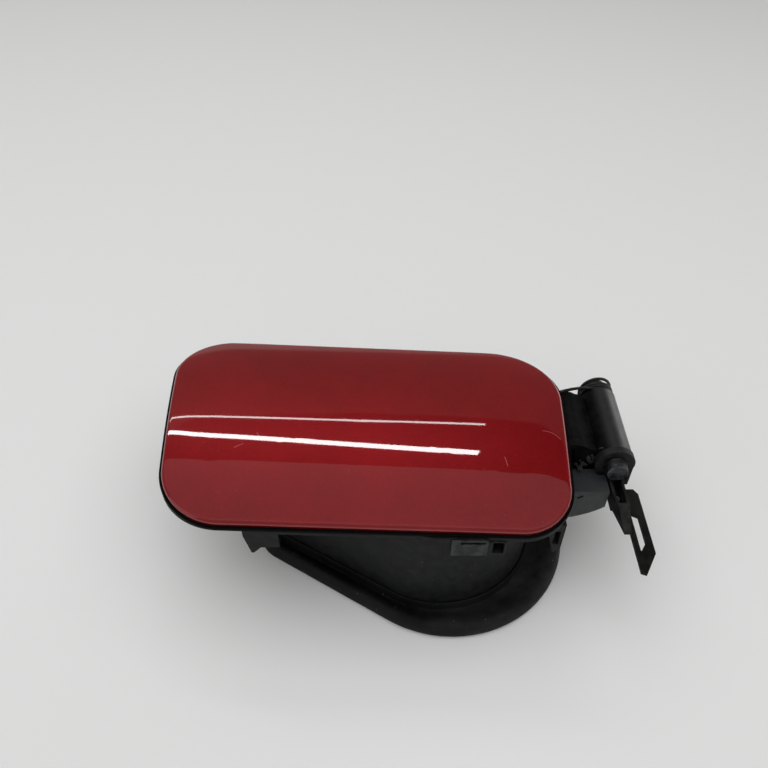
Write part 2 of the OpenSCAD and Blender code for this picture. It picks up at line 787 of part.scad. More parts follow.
// Hinge bracket: plate on the well's end, two ears for the pin, box tab towards the front
module hinge_bracket() {
  plate_x = well_right;
  color(black) difference() {
    union() {
      translate([plate_x, front_ear_y, plate_z])
        cube([back_plate_t, back_ear_y + back_ear_t - front_ear_y, plate_top - plate_z]);
      along_y(front_ear_y, front_ear_y + ear_t) union() {
        translate([hinge_x, hinge_z]) circle(ear_r);
        polygon([[plate_x, plate_z], [ear_right, plate_z + 4], [ear_right, hinge_z],
                 [plate_x, hinge_z]]);
      }
      along_y(back_ear_y, back_ear_y + back_ear_t) union() {
        translate([hinge_x, hinge_z]) circle(back_ear_r);
        translate([plate_x, plate_z])
          square([hinge_x + back_ear_r - plate_x, hinge_z - plate_z]);
      }
      box_tab();
    }
    hinge_cylinder(pin_r + fit_gap, front_ear_y - 1, back_ear_y + back_ear_t + 1);
    for (y = bracket_screw_places())
      translate([plate_x - 1, y, plate_mid]) rotate([0, 90, 0])
        cylinder(r = screw_r + 0.1, h = back_plate_t + 2, $fn = 32);
    translate([rivet_x, rivet_y, tab_z - 1])
      cylinder(r = rivet_r + fit_gap, h = tab_wall + 2, $fn = 32);
  }
}

// Open box tab with a bevelled end
module box_tab() {
  taper = 3.6;
  taper_y = front_ear_y - tab_l * 0.4;
  bevel_l = tab_l * 0.37;
  difference() {
    translate([0, 0, tab_z]) linear_extrude(tab_h)
      polygon([[tab_x, front_ear_y + 0.1], [tab_x, taper_y], [tab_x + taper, tab_end],
               [tab_x + tab_w, tab_end], [tab_x + tab_w, front_ear_y + 0.1]]);
    translate([tab_x + tab_wall, tab_end + bevel_l + tab_wall, tab_z + tab_wall])
      cube([tab_w - 2 * tab_wall, tab_l - bevel_l - tab_wall - 0.4, tab_h]);
    // bevel of the front end
    translate([tab_x - 1, 0, tab_z]) rotate([90, 0, 90]) linear_extrude(tab_w + 2)
      polygon([[tab_end - 1, 0.2], [tab_end, 0.8], [tab_end + bevel_l, tab_h],
               [tab_end + bevel_l, tab_h + 1], [tab_end - 1, tab_h + 1]]);
  }
}

// Pan head screws that hold the bracket to the well's end wall
module bracket_screws() {
  color(steel) for (y = bracket_screw_places())
    translate([well_right + back_plate_t, y, plate_mid]) rotate([0, -90, 0]) {
      cylinder(r = screw_r - fit_gap, h = back_plate_t + wall_t + 3, $fn = 32);
      translate([0, 0, -2]) difference() {
        cylinder(r = 2 * screw_r, h = 2, $fn = 48);
        translate([0, 0, -1]) cylinder(r = 1.2, h = 2, $fn = 6);
      }
    }
}

// Hinge pin with its round head at the front and a groove for the clip at the back
module hinge_pin() {
  head_back = front_ear_y - seat_gap;
  clip_y = back_ear_y + back_ear_t + seat_gap;
  color(grey) difference() {
    union() {
      hinge_cylinder(pin_r, head_back - 1, pin_end);
      translate([hinge_x, head_back, hinge_z]) rotate([90, 0, 0])
        cylinder(r1 = head_r + 0.8, r2 = head_r, h = head_l);
    }
    difference() {
      hinge_cylinder(pin_r + 1, clip_y, clip_y + 1);
      hinge_cylinder(pin_r - 0.6, clip_y - 1, clip_y + 2);
    }
  }
}

// Retaining clip in the pin's groove, open at its underside
module pin_clip() {
  clip_y = back_ear_y + back_ear_t + seat_gap;
  color(steel) difference() {
    hinge_cylinder(pin_r + 1.9, clip_y + 0.1, clip_y + 0.9);
    hinge_cylinder(pin_r - 0.6 + fit_gap, clip_y - 1, clip_y + 2);
    translate([hinge_x - pin_r * 0.7, clip_y - 1, hinge_z - far])
      cube([pin_r * 1.4, 3, far]);
  }
}

// Torsion spring: a coil on the spigot, a leg over the arm and a leg down to the bracket
coil_r = spigot_r + 0.5 + wire_d / 2;
coil_y = barrel_end + 0.3 + wire_d / 2;
coil_pitch = wire_d + 0.15;
leg_z = arm_z + arm_t + wire_d / 2 + 0.3;
spring_hook = [flap_right - 3, arm_y + arm_w - 4];
function coil_point(turn) =
  let (open_turn = max(0, turn - spring_turns + 0.7))
    [hinge_x + coil_r * sin(360 * turn), coil_y + coil_pitch * turn + 3.4 * pow(open_turn, 2),
     hinge_z + coil_r * cos(360 * turn)];
module torsion_spring() {
  steps = 18;
  arm_leg = [
    [spring_hook[0], spring_hook[1], arm_z + 0.4],
    [spring_hook[0], spring_hook[1], leg_z - 1],
    [spring_hook[0] + 0.8, spring_hook[1] + 0.1, leg_z],
    [flap_right + 3, arm_y + arm_w - 1.2, leg_z],
    [hinge_x - coil_r - 2, arm_y + arm_w + 1.4, leg_z - 0.2],
    [hinge_x - coil_r * 0.5, coil_y - 0.1, hinge_z + coil_r - 0.7]
  ];
  coil = [for (i = [0:steps * spring_turns]) coil_point(i / steps)];
  last_turn = [for (i = [1:4]) let (p = coil_point(spring_turns + i / steps)) p];
  foot_x = hinge_x + coil_r + 0.3;
  foot_y = coil_point(spring_turns + 4 / steps)[1] + 0.2;
  bracket_leg = [
    [foot_x - 0.2, foot_y, hinge_z + 1.5],
    [foot_x, foot_y, hinge_z - 3],
    [foot_x, foot_y, plate_top - 3]
  ];
  color(grey) wire(concat(arm_leg, coil, last_turn, bracket_leg), wire_d, [0, 1, 0]);
}

// Slotted fixing tongue: a lug under the box tab, a raised head and a pointed tip
module fixing_tongue() {
  x0 = tongue_x;
  x1 = tongue_x + tongue_w;
  slot_x = x0 + rail_w;
  slot_end = slot_y - slot_l;
  lug_l = 9;
  head_right = slot_x + slot_w + 0.5;
  color(black) difference() {
    union() {
      translate([0, 0, tongue_z]) linear_extrude(tongue_t)
        polygon([[x0, tongue_y], [x1 - 2, tongue_y], [x1, tongue_y - 3],
                 [x1, tongue_tip + 11], [x0 + 2.6, tongue_tip], [x0, tongue_tip + 1]]);
      translate([rivet_x - 3, rivet_y - lug_l / 2, tongue_z])
        cube([x0 - rivet_x + 3.1, lug_l, tongue_t]);
      translate([0, 0, tongue_z]) linear_extrude(tongue_head_t)
        polygon([[x0 + 0.2, tongue_y - 2], [head_right - 1, tongue_y - 2],
                 [head_right, tongue_y - 4], [head_right, slot_y - 1.9],
                 [x0 + 0.2, slot_y - 0.2]]);
    }
    translate([0, 0, tongue_z - 1]) linear_extrude(tongue_head_t + 2)
      polygon([[slot_x, slot_y], [slot_x + slot_w, slot_y - 1.8],
               [slot_x + slot_w, slot_end + 5], [slot_x + 0.2, slot_end],
               [slot_x, slot_end + 1]]);
    translate([rivet_x, rivet_y, tongue_z - 1])
      cylinder(r = rivet_r + fit_gap, h = tongue_t + 2, $fn = 32);
  }
}

// Rivet through the floor of the box tab and the tongue's lug
module tongue_rivet() {
  grip = tongue_t + tab_wall;
  color(steel) translate([rivet_x, rivet_y, tongue_z]) {
    cylinder(r = rivet_r, h = grip, $fn = 32);
    translate([0, 0, grip]) cylinder(r = rivet_r + 0.5, h = 0.8, $fn = 32);
    translate([0, 0, -0.8]) cylinder(r = rivet_r + 0.8, h = 0.8, $fn = 32);
  }
}

// Flat clip over the pocket's front pad and the edge of its shelf
module front_clip() {
  clip_h = pad_h + shelf_t - 0.2;
  color(grey) translate([pad_x, -pad_front - clip_t, shelf_z - pad_h]) difference() {
    cube([clip_w, clip_t, clip_h]);
    translate([0.25 * clip_w, -1, pad_h - 0.8]) cube([0.68 * clip_w, clip_t + 2, 1.6]);
  }
}

// Latch body under the shelf, with a chamber for the bolt's collar and spring
module latch_body() {
  low = shelf_z - latch_h;
  color(black) difference() {
    translate([latch_left, latch_y - latch_w / 2, low]) cube([latch_l, latch_w, latch_h]);
    translate([latch_left + latch_wall, latch_y - collar_r - 0.4, low + 2])
      cube([chamber_l, 2 * collar_r + 0.8, latch_h]);
    translate([latch_left - 1, latch_y, latch_z]) rotate([0, 90, 0])
      cylinder(r = bolt_r + run_gap, h = latch_l + 2);
    for (p = latch_screw_places())
      translate([p[0], p[1], shelf_z - 8]) cylinder(r = 1.3, h = 9, $fn = 32);
  }
}
module latch_screws() {
  color(steel) for (p = latch_screw_places()) translate([p[0], p[1], shelf_top]) {
    translate([0, 0, -shelf_t - 7]) cylinder(r = 1.3 - fit_gap, h = shelf_t + 7, $fn = 32);
    translate([0, 0, -shelf_t / 2]) cylinder(r = 1.7 - fit_gap, h = shelf_t / 2, $fn = 32);
  }
}

// Sliding latch bolt with a collar for its return spring
collar_x = latch_right - latch_wall - collar_t - 0.3;
module latch_bolt() {
  color(grey) translate([0, latch_y, latch_z]) rotate([0, 90, 0]) {
    translate([0, 0, bolt_tip]) cylinder(r = bolt_r, h = latch_right + 3 - bolt_tip);
    translate([0, 0, collar_x]) cylinder(r = collar_r, h = collar_t);
  }
}
module latch_spring() {
  turns = 5;
  steps = 12;
  x0 = latch_left + latch_wall + latch_wire / 2 + 0.1;
  x1 = collar_x - latch_wire / 2 - 0.1;
  r = bolt_r + 0.3 + latch_wire / 2;
  color(steel) wire([
    for (i = [0:steps * turns])
      [x0 + (x1 - x0) * i / (steps * turns), latch_y + r * cos(360 * i / steps),
       latch_z + r * sin(360 * i / steps)]
  ], latch_wire, [1, 0, 0], 6);
}

outer_panel();
inner_carrier();
hinge_arm();
arm_screws();
front_bush();
rear_bush();
striker();
striker_rivets();
bump_stop_front();
bump_stop_back();
cap_holder();
pocket_housing();
lip_seal();
neck_seal();
hinge_bracket();
bracket_screws();
hinge_pin();
pin_clip();
torsion_spring();
fixing_tongue();
tongue_rivet();
front_clip();
latch_body();
latch_screws();
latch_bolt();
latch_spring();
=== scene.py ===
import math

import bmesh
import bpy
from mathutils import Matrix, Vector, noise


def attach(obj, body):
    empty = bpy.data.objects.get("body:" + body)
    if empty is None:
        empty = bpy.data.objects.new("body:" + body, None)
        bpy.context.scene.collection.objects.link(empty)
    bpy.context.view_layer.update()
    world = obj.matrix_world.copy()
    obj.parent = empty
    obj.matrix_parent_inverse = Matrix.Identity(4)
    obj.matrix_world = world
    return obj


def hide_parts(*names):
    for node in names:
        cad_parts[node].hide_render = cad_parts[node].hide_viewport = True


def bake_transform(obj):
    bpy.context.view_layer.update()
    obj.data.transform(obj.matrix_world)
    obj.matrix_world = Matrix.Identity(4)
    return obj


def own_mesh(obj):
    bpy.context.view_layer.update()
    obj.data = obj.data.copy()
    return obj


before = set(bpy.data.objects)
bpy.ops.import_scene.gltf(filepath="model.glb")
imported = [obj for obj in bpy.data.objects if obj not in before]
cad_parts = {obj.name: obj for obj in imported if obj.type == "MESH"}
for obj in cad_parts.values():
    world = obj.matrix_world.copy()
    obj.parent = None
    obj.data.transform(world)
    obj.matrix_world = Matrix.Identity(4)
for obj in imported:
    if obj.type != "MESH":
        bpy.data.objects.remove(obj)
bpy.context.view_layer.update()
mm = 0.001


def addNode(tree, kind, place=(0, 0), **values):
    made = tree.nodes.new(kind)
    made.location = place
    for key, value in values.items():
        setattr(made, key, value)
    return made


def setInputs(made, **values):
    # an underscore in a name stands for the space in the socket's own name
    for key, value in values.items():
        made.inputs[key.replace("_", " ")].default_value = value
    return made


def join(tree, outSocket, inSocket):
    tree.links.new(outSocket, inSocket)


def feed(tree, value, socket):
    # a number is set on the socket, anything else is linked to it
    if isinstance(value, (int, float)):
        socket.default_value = value
    else:
        join(tree, value, socket)


def mathNode(tree, operation, first, second=None, clamp=False):
    made = addNode(tree, "ShaderNodeMath", operation=operation, use_clamp=clamp)
    feed(tree, first, made.inputs[0])
    if second is not None:
        feed(tree, second, made.inputs[1])
    return made.outputs[0]


def times(tree, first, second):
    return mathNode(tree, "MULTIPLY", first, second)


def vectorNode(tree, operation, first, second):
    made = addNode(tree, "ShaderNodeVectorMath", operation=operation)
    join(tree, first, made.inputs[0])
    if isinstance(second, (tuple, Vector)):
        made.inputs[1].default_value = second
    else:
        join(tree, second, made.inputs[1])
    return made.outputs["Value" if operation == "DOT_PRODUCT" else "Vector"]


def splitNode(tree, vector):
    made = addNode(tree, "ShaderNodeSeparateXYZ", (-600, -600))
    join(tree, vector, made.inputs[0])
    return made.outputs


def noiseNode(tree, vector, scale, **values):
    made = addNode(tree, "ShaderNodeTexNoise", (-600, 0))
    join(tree, vector, made.inputs["Vector"])
    feed(tree, scale, made.inputs["Scale"])
    return setInputs(made, **values).outputs["Fac"]


def cellNode(tree, vector, scale):
    made = addNode(tree, "ShaderNodeTexVoronoi", (-600, 300), feature="F1")
    join(tree, vector, made.inputs["Vector"])
    feed(tree, scale, made.inputs["Scale"])
    return made.outputs


def rampNode(tree, value, low, high):
    # 0 at low, 1 at high and eased between them
    made = addNode(tree, "ShaderNodeMapRange", interpolation_type="SMOOTHSTEP")
    join(tree, value, made.inputs["Value"])
    feed(tree, low, made.inputs["From Min"])
    feed(tree, high, made.inputs["From Max"])
    return made.outputs["Result"]


def spreadNode(tree, value, ends):
    # carries 0 to 1 over to the two given ends
    made = addNode(tree, "ShaderNodeMapRange", (200, -200))
    join(tree, value, made.inputs["Value"])
    made.inputs["To Min"].default_value, made.inputs["To Max"].default_value = ends
    return made.outputs["Result"]


def mixColour(tree, factor, first, second):
    made = addNode(tree, "ShaderNodeMix", data_type="RGBA")
    join(tree, factor, made.inputs["Factor"])
    for name, value in (("A", first), ("B", second)):
        socket = [s for s in made.inputs if s.name == name and s.type == "RGBA"][0]
        if isinstance(value, (tuple, list)):
            socket.default_value = tuple(value)[:3] + (1,)
        else:
            join(tree, value, socket)
    return [s for s in made.outputs if s.type == "RGBA"][0]


def bumpNode(tree, height, strength, distance):
    made = addNode(tree, "ShaderNodeBump", (300, -500))
    join(tree, height, made.inputs["Height"])
    return setInputs(made, Strength=strength, Distance=distance).outputs["Normal"]


def objectPlace(tree):
    return addNode(tree, "ShaderNodeTexCoord", (-900, 300)).outputs["Object"]


def startGroup(name, inputs, outputs):
    # inputs are names with their starting values, outputs are names only
    tree = bpy.data.node_groups.new(name, "ShaderNodeTree")
    for label, value in inputs.items():
        kind = "NodeSocketVector" if isinstance(value, tuple) else "NodeSocketFloat"
        tree.interface.new_socket(name=label, in_out="INPUT", socket_type=kind).default_value = value
    for label in outputs:
        tree.interface.new_socket(name=label, in_out="OUTPUT", socket_type="NodeSocketFloat")
    groupIn = addNode(tree, "NodeGroupInput", (-900, 0))
    groupOut = addNode(tree, "NodeGroupOutput", (900, 0))
    return tree, groupIn.outputs, groupOut.inputs


def placeGroup(tree, group, place, **values):
    return setInputs(addNode(tree, "ShaderNodeGroup", place, node_tree=group), **values)


def buildDust():
    # pale specks and a soft film, more of it on what looks up and towards the hinge
    tree, given, result = startGroup(
        "dustFilm", {"Amount": 0.4, "Speck Scale": 900.0, "Film Scale": 40.0, "Hinge End": 1.0},
        ["Specks", "Film"])
    place = objectPlace(tree)
    speck = cellNode(tree, place, given["Speck Scale"])
    spotSize = rampNode(tree, noiseNode(tree, place, 260.0, Detail=2.0), 0.55, 0.8)
    dots = mathNode(tree, "LESS_THAN", speck["Distance"], times(tree, spotSize, 0.34))
    film = noiseNode(tree, place, given["Film Scale"], Detail=6.0, Roughness=0.65)
    facing = splitNode(tree, addNode(tree, "ShaderNodeNewGeometry", (-900, -600)).outputs["Normal"])
    up = rampNode(tree, facing["Z"], -0.2, 0.9)
    towardsHinge = times(tree, rampNode(tree, splitNode(tree, place)["X"], -0.05, 0.07), given["Hinge End"])
    veil = times(tree, rampNode(tree, film, 0.35, 0.75), up)
    veil = times(tree, veil, mathNode(tree, "ADD", towardsHinge, 0.4))
    join(tree, times(tree, dots, given["Amount"]), result["Specks"])
    join(tree, times(tree, veil, given["Amount"]), result["Film"])
    return tree


def buildFineScratches():
    # fine lines at several angles, broken up so that none runs on for ever
    tree, given, result = startGroup(
        "fineScratches", {"Density": 0.5, "Scale": 60.0, "Stretch": 14.0}, ["Lines", "Height"])
    place = objectPlace(tree)
    stretch = addNode(tree, "ShaderNodeCombineXYZ", (-700, -100))
    setInputs(stretch, X=1.0, Z=1.0)
    join(tree, given["Stretch"], stretch.inputs["Y"])
    total = None
    for index, angle in enumerate((12, 74, 131)):
        turned = addNode(tree, "ShaderNodeMapping", (-700, -300 * index))
        turned.inputs["Rotation"].default_value = (0.3 * index, 0.2, math.radians(angle))
        join(tree, place, turned.inputs["Vector"])
        narrow = vectorNode(tree, "MULTIPLY", turned.outputs["Vector"], stretch.outputs[0])
        grain = noiseNode(tree, narrow, given["Scale"], Detail=3.0, Roughness=0.5, Distortion=0.4)
        line = rampNode(tree, mathNode(tree, "ABSOLUTE", mathNode(tree, "SUBTRACT", grain, 0.5)), 0.012, 0.0)
        broken = noiseNode(tree, place, 90.0 + 40 * index, Detail=1.0)
        part = times(tree, line, rampNode(tree, broken, 0.52, 0.62))
        total = part if total is None else mathNode(tree, "MAXIMUM", total, part)
    lines = mathNode(tree, "MULTIPLY", total, given["Density"], clamp=True)
    join(tree, lines, result["Lines"])
    join(tree, mathNode(tree, "SUBTRACT", 1.0, lines), result["Height"])
    return tree


def buildSingleScratch():
    # one fine scratch seen from above, from one point to another
    tree, given, result = startGroup(
        "singleScratch", {"From": (0, 0, 0), "To": (0.01, 0, 0), "Width": 0.0002}, ["Line"])
    flat = vectorNode(tree, "MULTIPLY", objectPlace(tree), (1, 1, 0))
    along = vectorNode(tree, "SUBTRACT", given["To"], given["From"])
    away = vectorNode(tree, "SUBTRACT", flat, given["From"])
    share = mathNode(tree, "DIVIDE", vectorNode(tree, "DOT_PRODUCT", away, along),
                     vectorNode(tree, "DOT_PRODUCT", along, along), clamp=True)
    reached = addNode(tree, "ShaderNodeVectorMath", operation="SCALE")
    join(tree, along, reached.inputs[0])
    join(tree, share, reached.inputs["Scale"])
    gap = vectorNode(tree, "SUBTRACT", away, reached.outputs["Vector"])
    distance = mathNode(tree, "SQRT", vectorNode(tree, "DOT_PRODUCT", gap, gap))
    join(tree, rampNode(tree, distance, given["Width"], times(tree, given["Width"], 0.3)), result["Line"])
    return tree


def buildGrain():
    # the fine texture of a moulding, with slow unevenness under it
    tree, given, result = startGroup(
        "mouldedGrain", {"Scale": 1600.0, "Unevenness": 0.4}, ["Height", "Patches"])
    place = objectPlace(tree)
    fine = noiseNode(tree, place, given["Scale"], Detail=3.0)
    patches = rampNode(tree, noiseNode(tree, place, 55.0, Detail=4.0, Roughness=0.6), 0.3, 0.72)
    join(tree, mathNode(tree, "ADD", fine, times(tree, patches, given["Unevenness"])), result["Height"])
    join(tree, patches, result["Patches"])
    return tree


def buildEdgeWear():
    # the rounded edges carry an attribute; noise eats it away so that wear comes and goes
    tree, given, result = startGroup("edgeWear", {"Amount": 0.5, "Scale": 220.0}, ["Mask"])
    edge = addNode(tree, "ShaderNodeAttribute", (-600, 200),
                   attribute_name="roundedEdge", attribute_type="GEOMETRY")
    rough = noiseNode(tree, objectPlace(tree), given["Scale"], Detail=3.0)
    eaten = times(tree, rampNode(tree, edge.outputs["Fac"], 0.25, 0.9), rampNode(tree, rough, 0.38, 0.62))
    join(tree, mathNode(tree, "MULTIPLY", eaten, given["Amount"], clamp=True), result["Mask"])
    return tree


# the effects that several finishes share
dustGroup = buildDust()
fineScratchGroup = buildFineScratches()
singleScratchGroup = buildSingleScratch()
grainGroup = buildGrain()
wearGroup = buildEdgeWear()
print("effects are built")


# how strongly dust shows on each kind of surface, and its colour there
dustLooks = {
    "plastic": {"Film": {"share": 0.30, "colour": (0.10, 0.098, 0.092)},
                "Specks": {"share": 0.85, "colour": (0.30, 0.29, 0.27)}},
    "rubber": {"Film": {"share": 0.30, "colour": (0.09, 0.089, 0.086)},
               "Specks": {"share": 0.7, "colour": (0.26, 0.25, 0.24)}},
    "paint": {"Specks": {"share": 0.8, "colour": (0.65, 0.55, 0.52)}},
}


def startMaterial(name):
    made = bpy.data.materials.new(name)
    made.use_nodes = True
    tree = made.node_tree
    tree.nodes.clear()
    out = addNode(tree, "ShaderNodeOutputMaterial", (900, 0))
    shader = addNode(tree, "ShaderNodeBsdfPrincipled", (600, 0))
    join(tree, shader.outputs["BSDF"], out.inputs["Surface"])
    return made, tree, shader.inputs


def settleDust(tree, dust, colour, kind):
    for layer, look in dustLooks[kind].items():
        colour = mixColour(tree, times(tree, dust.outputs[layer], look["share"]), colour, look["colour"])
    return colour


# colours are linear; shine is the specular level; the painted-light ends and polished areas are in metres
plasticFinishes = {
    "rimPlastic": {
        "dark": (0.0016, 0.0016, 0.0018), "light": (0.0026, 0.0026, 0.0028), "worn": (0.014, 0.014, 0.015),
        "rough": (0.38, 0.50), "shine": 0.03, "dust": 0.02, "wear": 0.12, "grain": 0.06, "lines": 0.10,
        "slot": "black_plastic",
    },
    "bodyPlastic": {
        "dark": (0.0058, 0.0060, 0.0063), "light": (0.0085, 0.0088, 0.0090), "worn": (0.035, 0.036, 0.037),
        "rough": (0.50, 0.62), "shine": 0.14, "dust": 0.30, "wear": 0.30, "grain": 0.10, "lines": 0.2,
        "slot": "grey_plastic",
        # painted light: the pocket is lighter towards the hinge, where the flap casts no shade, and its front
        # faces more than its top
        "paintedLightEnd": {"axis": "X", "from": 0.0575, "to": 0.0612,
                   "top": (0.0265, 0.0295, 0.0335), "front": (0.0610, 0.0670, 0.0650)},
    },
    "armPlastic": {
        "dark": (0.0016, 0.0016, 0.0017), "light": (0.0031, 0.0031, 0.0033), "worn": (0.030, 0.030, 0.031),
        "rough": (0.48, 0.62), "shine": 0.05, "dust": 0.07, "wear": 0.12, "grain": 0.12, "lines": 0.35,
        "slot": "grey_plastic",
        "polished": {"X": 0.0873, "Z": 0.064, "radius": 0.0094, "shine": 0.95, "rough": 0.32},
    },
    "flashPlastic": {
        "dark": (0.020, 0.020, 0.0205), "light": (0.045, 0.045, 0.046), "worn": (0.06, 0.06, 0.06),
        "rough": (0.40, 0.52), "shine": 0.35, "dust": 0.2, "wear": 0.2, "grain": 0.2, "lines": 0.2,
        "slot": "grey_plastic",
    },
    "bracketPlastic": {
        "dark": (0.0040, 0.0040, 0.0040), "light": (0.0066, 0.0066, 0.0064), "worn": (0.04, 0.04, 0.04),
        "rough": (0.40, 0.52), "shine": 0.22, "dust": 0.2, "wear": 0.4, "grain": 0.10, "lines": 0.2,
        "slot": "black_plastic",
    },
    "strapPlastic": {
        "dark": (0.0016, 0.0016, 0.0014), "light": (0.0028, 0.0028, 0.0025), "worn": (0.026, 0.026, 0.025),
        "rough": (0.44, 0.56), "shine": 0.10, "dust": 0.08, "wear": 0.30, "grain": 0.08, "lines": 0.12,
        "slot": "strap_plastic",
        # painted light: the tongue is lighter towards +Y, more on what faces up than on what faces the front
        "paintedLightEnd": {"axis": "Y", "from": -0.0265, "to": -0.0215,
                   "top": (0.0100, 0.0100, 0.0098), "front": (0.0080, 0.0080, 0.0078)},
    },
    "clipPlastic": {
        "dark": (0.0060, 0.0066, 0.0074), "light": (0.0090, 0.0098, 0.0110), "worn": (0.07, 0.072, 0.075),
        "rough": (0.36, 0.46), "shine": 0.2, "dust": 0.25, "wear": 0.4, "grain": 0.06, "lines": 0.2,
        "slot": "clip_plastic",
    },
    "bushPlastic": {
        "dark": (0.50, 0.48, 0.42), "light": (0.58, 0.56, 0.50), "worn": (0.66, 0.64, 0.58),
        "rough": (0.25, 0.35), "shine": 0.5, "dust": 0.1, "wear": 0.3, "grain": 0.05, "lines": 0.1,
        "slot": "bush_plastic",
    },
}


def paintLightAtEnd(tree, place, colour, paintedLight):
    # painted light: lighter towards one end, with one colour for what faces up and another for what faces the
    # front, standing in for how the light falls there
    facing = splitNode(tree, addNode(tree, "ShaderNodeTexCoord", (-900, -900)).outputs["Normal"])
    paintedLitColour = mixColour(tree, rampNode(tree, facing["Y"], -0.35, -0.75), paintedLight["top"], paintedLight["front"])
    return mixColour(tree, rampNode(tree, place[paintedLight["axis"]], paintedLight["from"], paintedLight["to"]), colour, paintedLitColour)


def roundAxis(tree, place, smooth):
    # a mask for what lies on a barrel along Y, faded in towards +X
    away = []
    for axis in ("X", "Z"):
        offset = mathNode(tree, "ABSOLUTE", mathNode(tree, "SUBTRACT", place[axis], smooth[axis]))
        away.append(mathNode(tree, "POWER", offset, 2.0))
    distance = mathNode(tree, "SQRT", mathNode(tree, "ADD", away[0], away[1]))
    near = rampNode(tree, distance, smooth["radius"] + 0.0011, smooth["radius"] + 0.0003)
    return times(tree, near, rampNode(tree, place["X"], smooth["X"] - 0.006, smooth["X"] + 0.004))


def makePlastic(name, look):
    made, tree, shader = startMaterial(name)
    grain = placeGroup(tree, grainGroup, (-500, 200), Scale=1500.0, Unevenness=0.6)
    dust = placeGroup(tree, dustGroup, (-500, -50), Amount=look["dust"])
    wear = placeGroup(tree, wearGroup, (-500, -250), Amount=look["wear"])
    lines = placeGroup(tree, fineScratchGroup, (-500, -450), Density=look["lines"])
    place = splitNode(tree, objectPlace(tree))
    colour = mixColour(tree, grain.outputs["Patches"], look["dark"], look["light"])
    # painted light at one end, for the finishes that have it
    if "paintedLightEnd" in look:
        colour = paintLightAtEnd(tree, place, colour, look["paintedLightEnd"])
    colour = mixColour(tree, wear.outputs["Mask"], colour, look["worn"])
    colour = mixColour(tree, times(tree, lines.outputs["Lines"], 0.35), colour, look["worn"])
    join(tree, settleDust(tree, dust, colour, "plastic"), shader["Base Color"])
    roughness = mathNode(tree, "ADD", spreadNode(tree, grain.outputs["Patches"], look["rough"]),
                         times(tree, dust.outputs["Film"], 0.25), clamp=True)
    shader["Specular IOR Level"].default_value = look["shine"]
    if "polished" in look:
        # rubbed smooth round the hinge axis
        smooth = look["polished"]
        near = roundAxis(tree, place, smooth)
        smoother = look["rough"][0] - smooth["rough"]
        roughness = mathNode(tree, "SUBTRACT", roughness, times(tree, near, smoother))
        shine = mathNode(tree, "ADD", times(tree, near, smooth["shine"] - look["shine"]), look["shine"])
        join(tree, shine, shader["Specular IOR Level"])
    join(tree, roughness, shader["Roughness"])
    height = mathNode(tree, "ADD", grain.outputs["Height"], times(tree, lines.outputs["Height"], 0.5))
    join(tree, bumpNode(tree, height, look["grain"], 0.0004), shader["Normal"])
    return made


rubberFinishes = {
    "sealRubber": {"dark": (0.0034, 0.0034, 0.0036), "light": (0.0078, 0.0078, 0.0081), "dust": 0.6,
                   "rough": (0.5, 0.72), "shine": 0.14, "slot": "soft_rubber"},
    "stopRubber": {"dark": (0.005, 0.005, 0.006), "light": (0.010, 0.010, 0.011), "dust": 0.3,
                   "rough": (0.5, 0.72), "shine": 0.14, "slot": "soft_rubber"},
}


def makeRubber(name, look):
    made, tree, shader = startMaterial(name)
    grain = placeGroup(tree, grainGroup, (-500, 200), Scale=900.0, Unevenness=1.0)
    dust = placeGroup(tree, dustGroup, (-500, -50), Amount=look["dust"])
    colour = mixColour(tree, grain.outputs["Patches"], look["dark"], look["light"])
    join(tree, settleDust(tree, dust, colour, "rubber"), shader["Base Color"])
    join(tree, spreadNode(tree, grain.outputs["Patches"], look["rough"]), shader["Roughness"])
    shader["Specular IOR Level"].default_value = look["shine"]
    join(tree, bumpNode(tree, grain.outputs["Height"], 0.16, 0.0005), shader["Normal"])
    return made


# bare says how much lighter the metal is where a scratch or worn edge lays it open
steelFinishes = {
    "zincSteel": {"dark": (0.42, 0.43, 0.45), "light": (0.60, 0.61, 0.63), "rough": (0.28, 0.42),
                  "lines": 0.5, "rust": 0.12, "bare": 1.9, "slot": "zinc_steel"},
    "springSteel": {"dark": (0.028, 0.029, 0.031), "light": (0.055, 0.056, 0.059), "rough": (0.30, 0.42),
                    "lines": 0.4, "rust": 0.08, "bare": 1.9, "slot": "spring_steel"},
    "pinSteel": {"dark": (0.020, 0.020, 0.022), "light": (0.045, 0.046, 0.048), "rough": (0.36, 0.50),
                 "lines": 0.9, "rust": 0.0, "bare": 5.0, "slot": "pin_steel"},
}


def makeSteel(name, look):
    made, tree, shader = startMaterial(name)
    grain = placeGroup(tree, grainGroup, (-500, 200), Scale=1100.0, Unevenness=0.8)
    lines = placeGroup(tree, fineScratchGroup, (-500, -450), Density=look["lines"], Scale=130.0)
    wear = placeGroup(tree, wearGroup, (-500, -250), Amount=0.8)
    colour = mixColour(tree, grain.outputs["Patches"], look["dark"], look["light"])
    bareMetal = tuple(min(1.0, part * look["bare"]) for part in look["light"])
    laidOpen = mathNode(tree, "MAXIMUM", lines.outputs["Lines"], wear.outputs["Mask"])
    colour = mixColour(tree, laidOpen, colour, bareMetal)
    if look["rust"]:
        stained = times(tree, grain.outputs["Patches"], look["rust"])
        colour = mixColour(tree, stained, colour, (0.20, 0.10, 0.05))
    join(tree, colour, shader["Base Color"])
    shader["Metallic"].default_value = 0.9
    join(tree, spreadNode(tree, grain.outputs["Patches"], look["rough"]), shader["Roughness"])
    height = mathNode(tree, "ADD", grain.outputs["Height"], lines.outputs["Height"])
    join(tree, bumpNode(tree, height, 0.18, 0.0003), shader["Normal"])
    return made


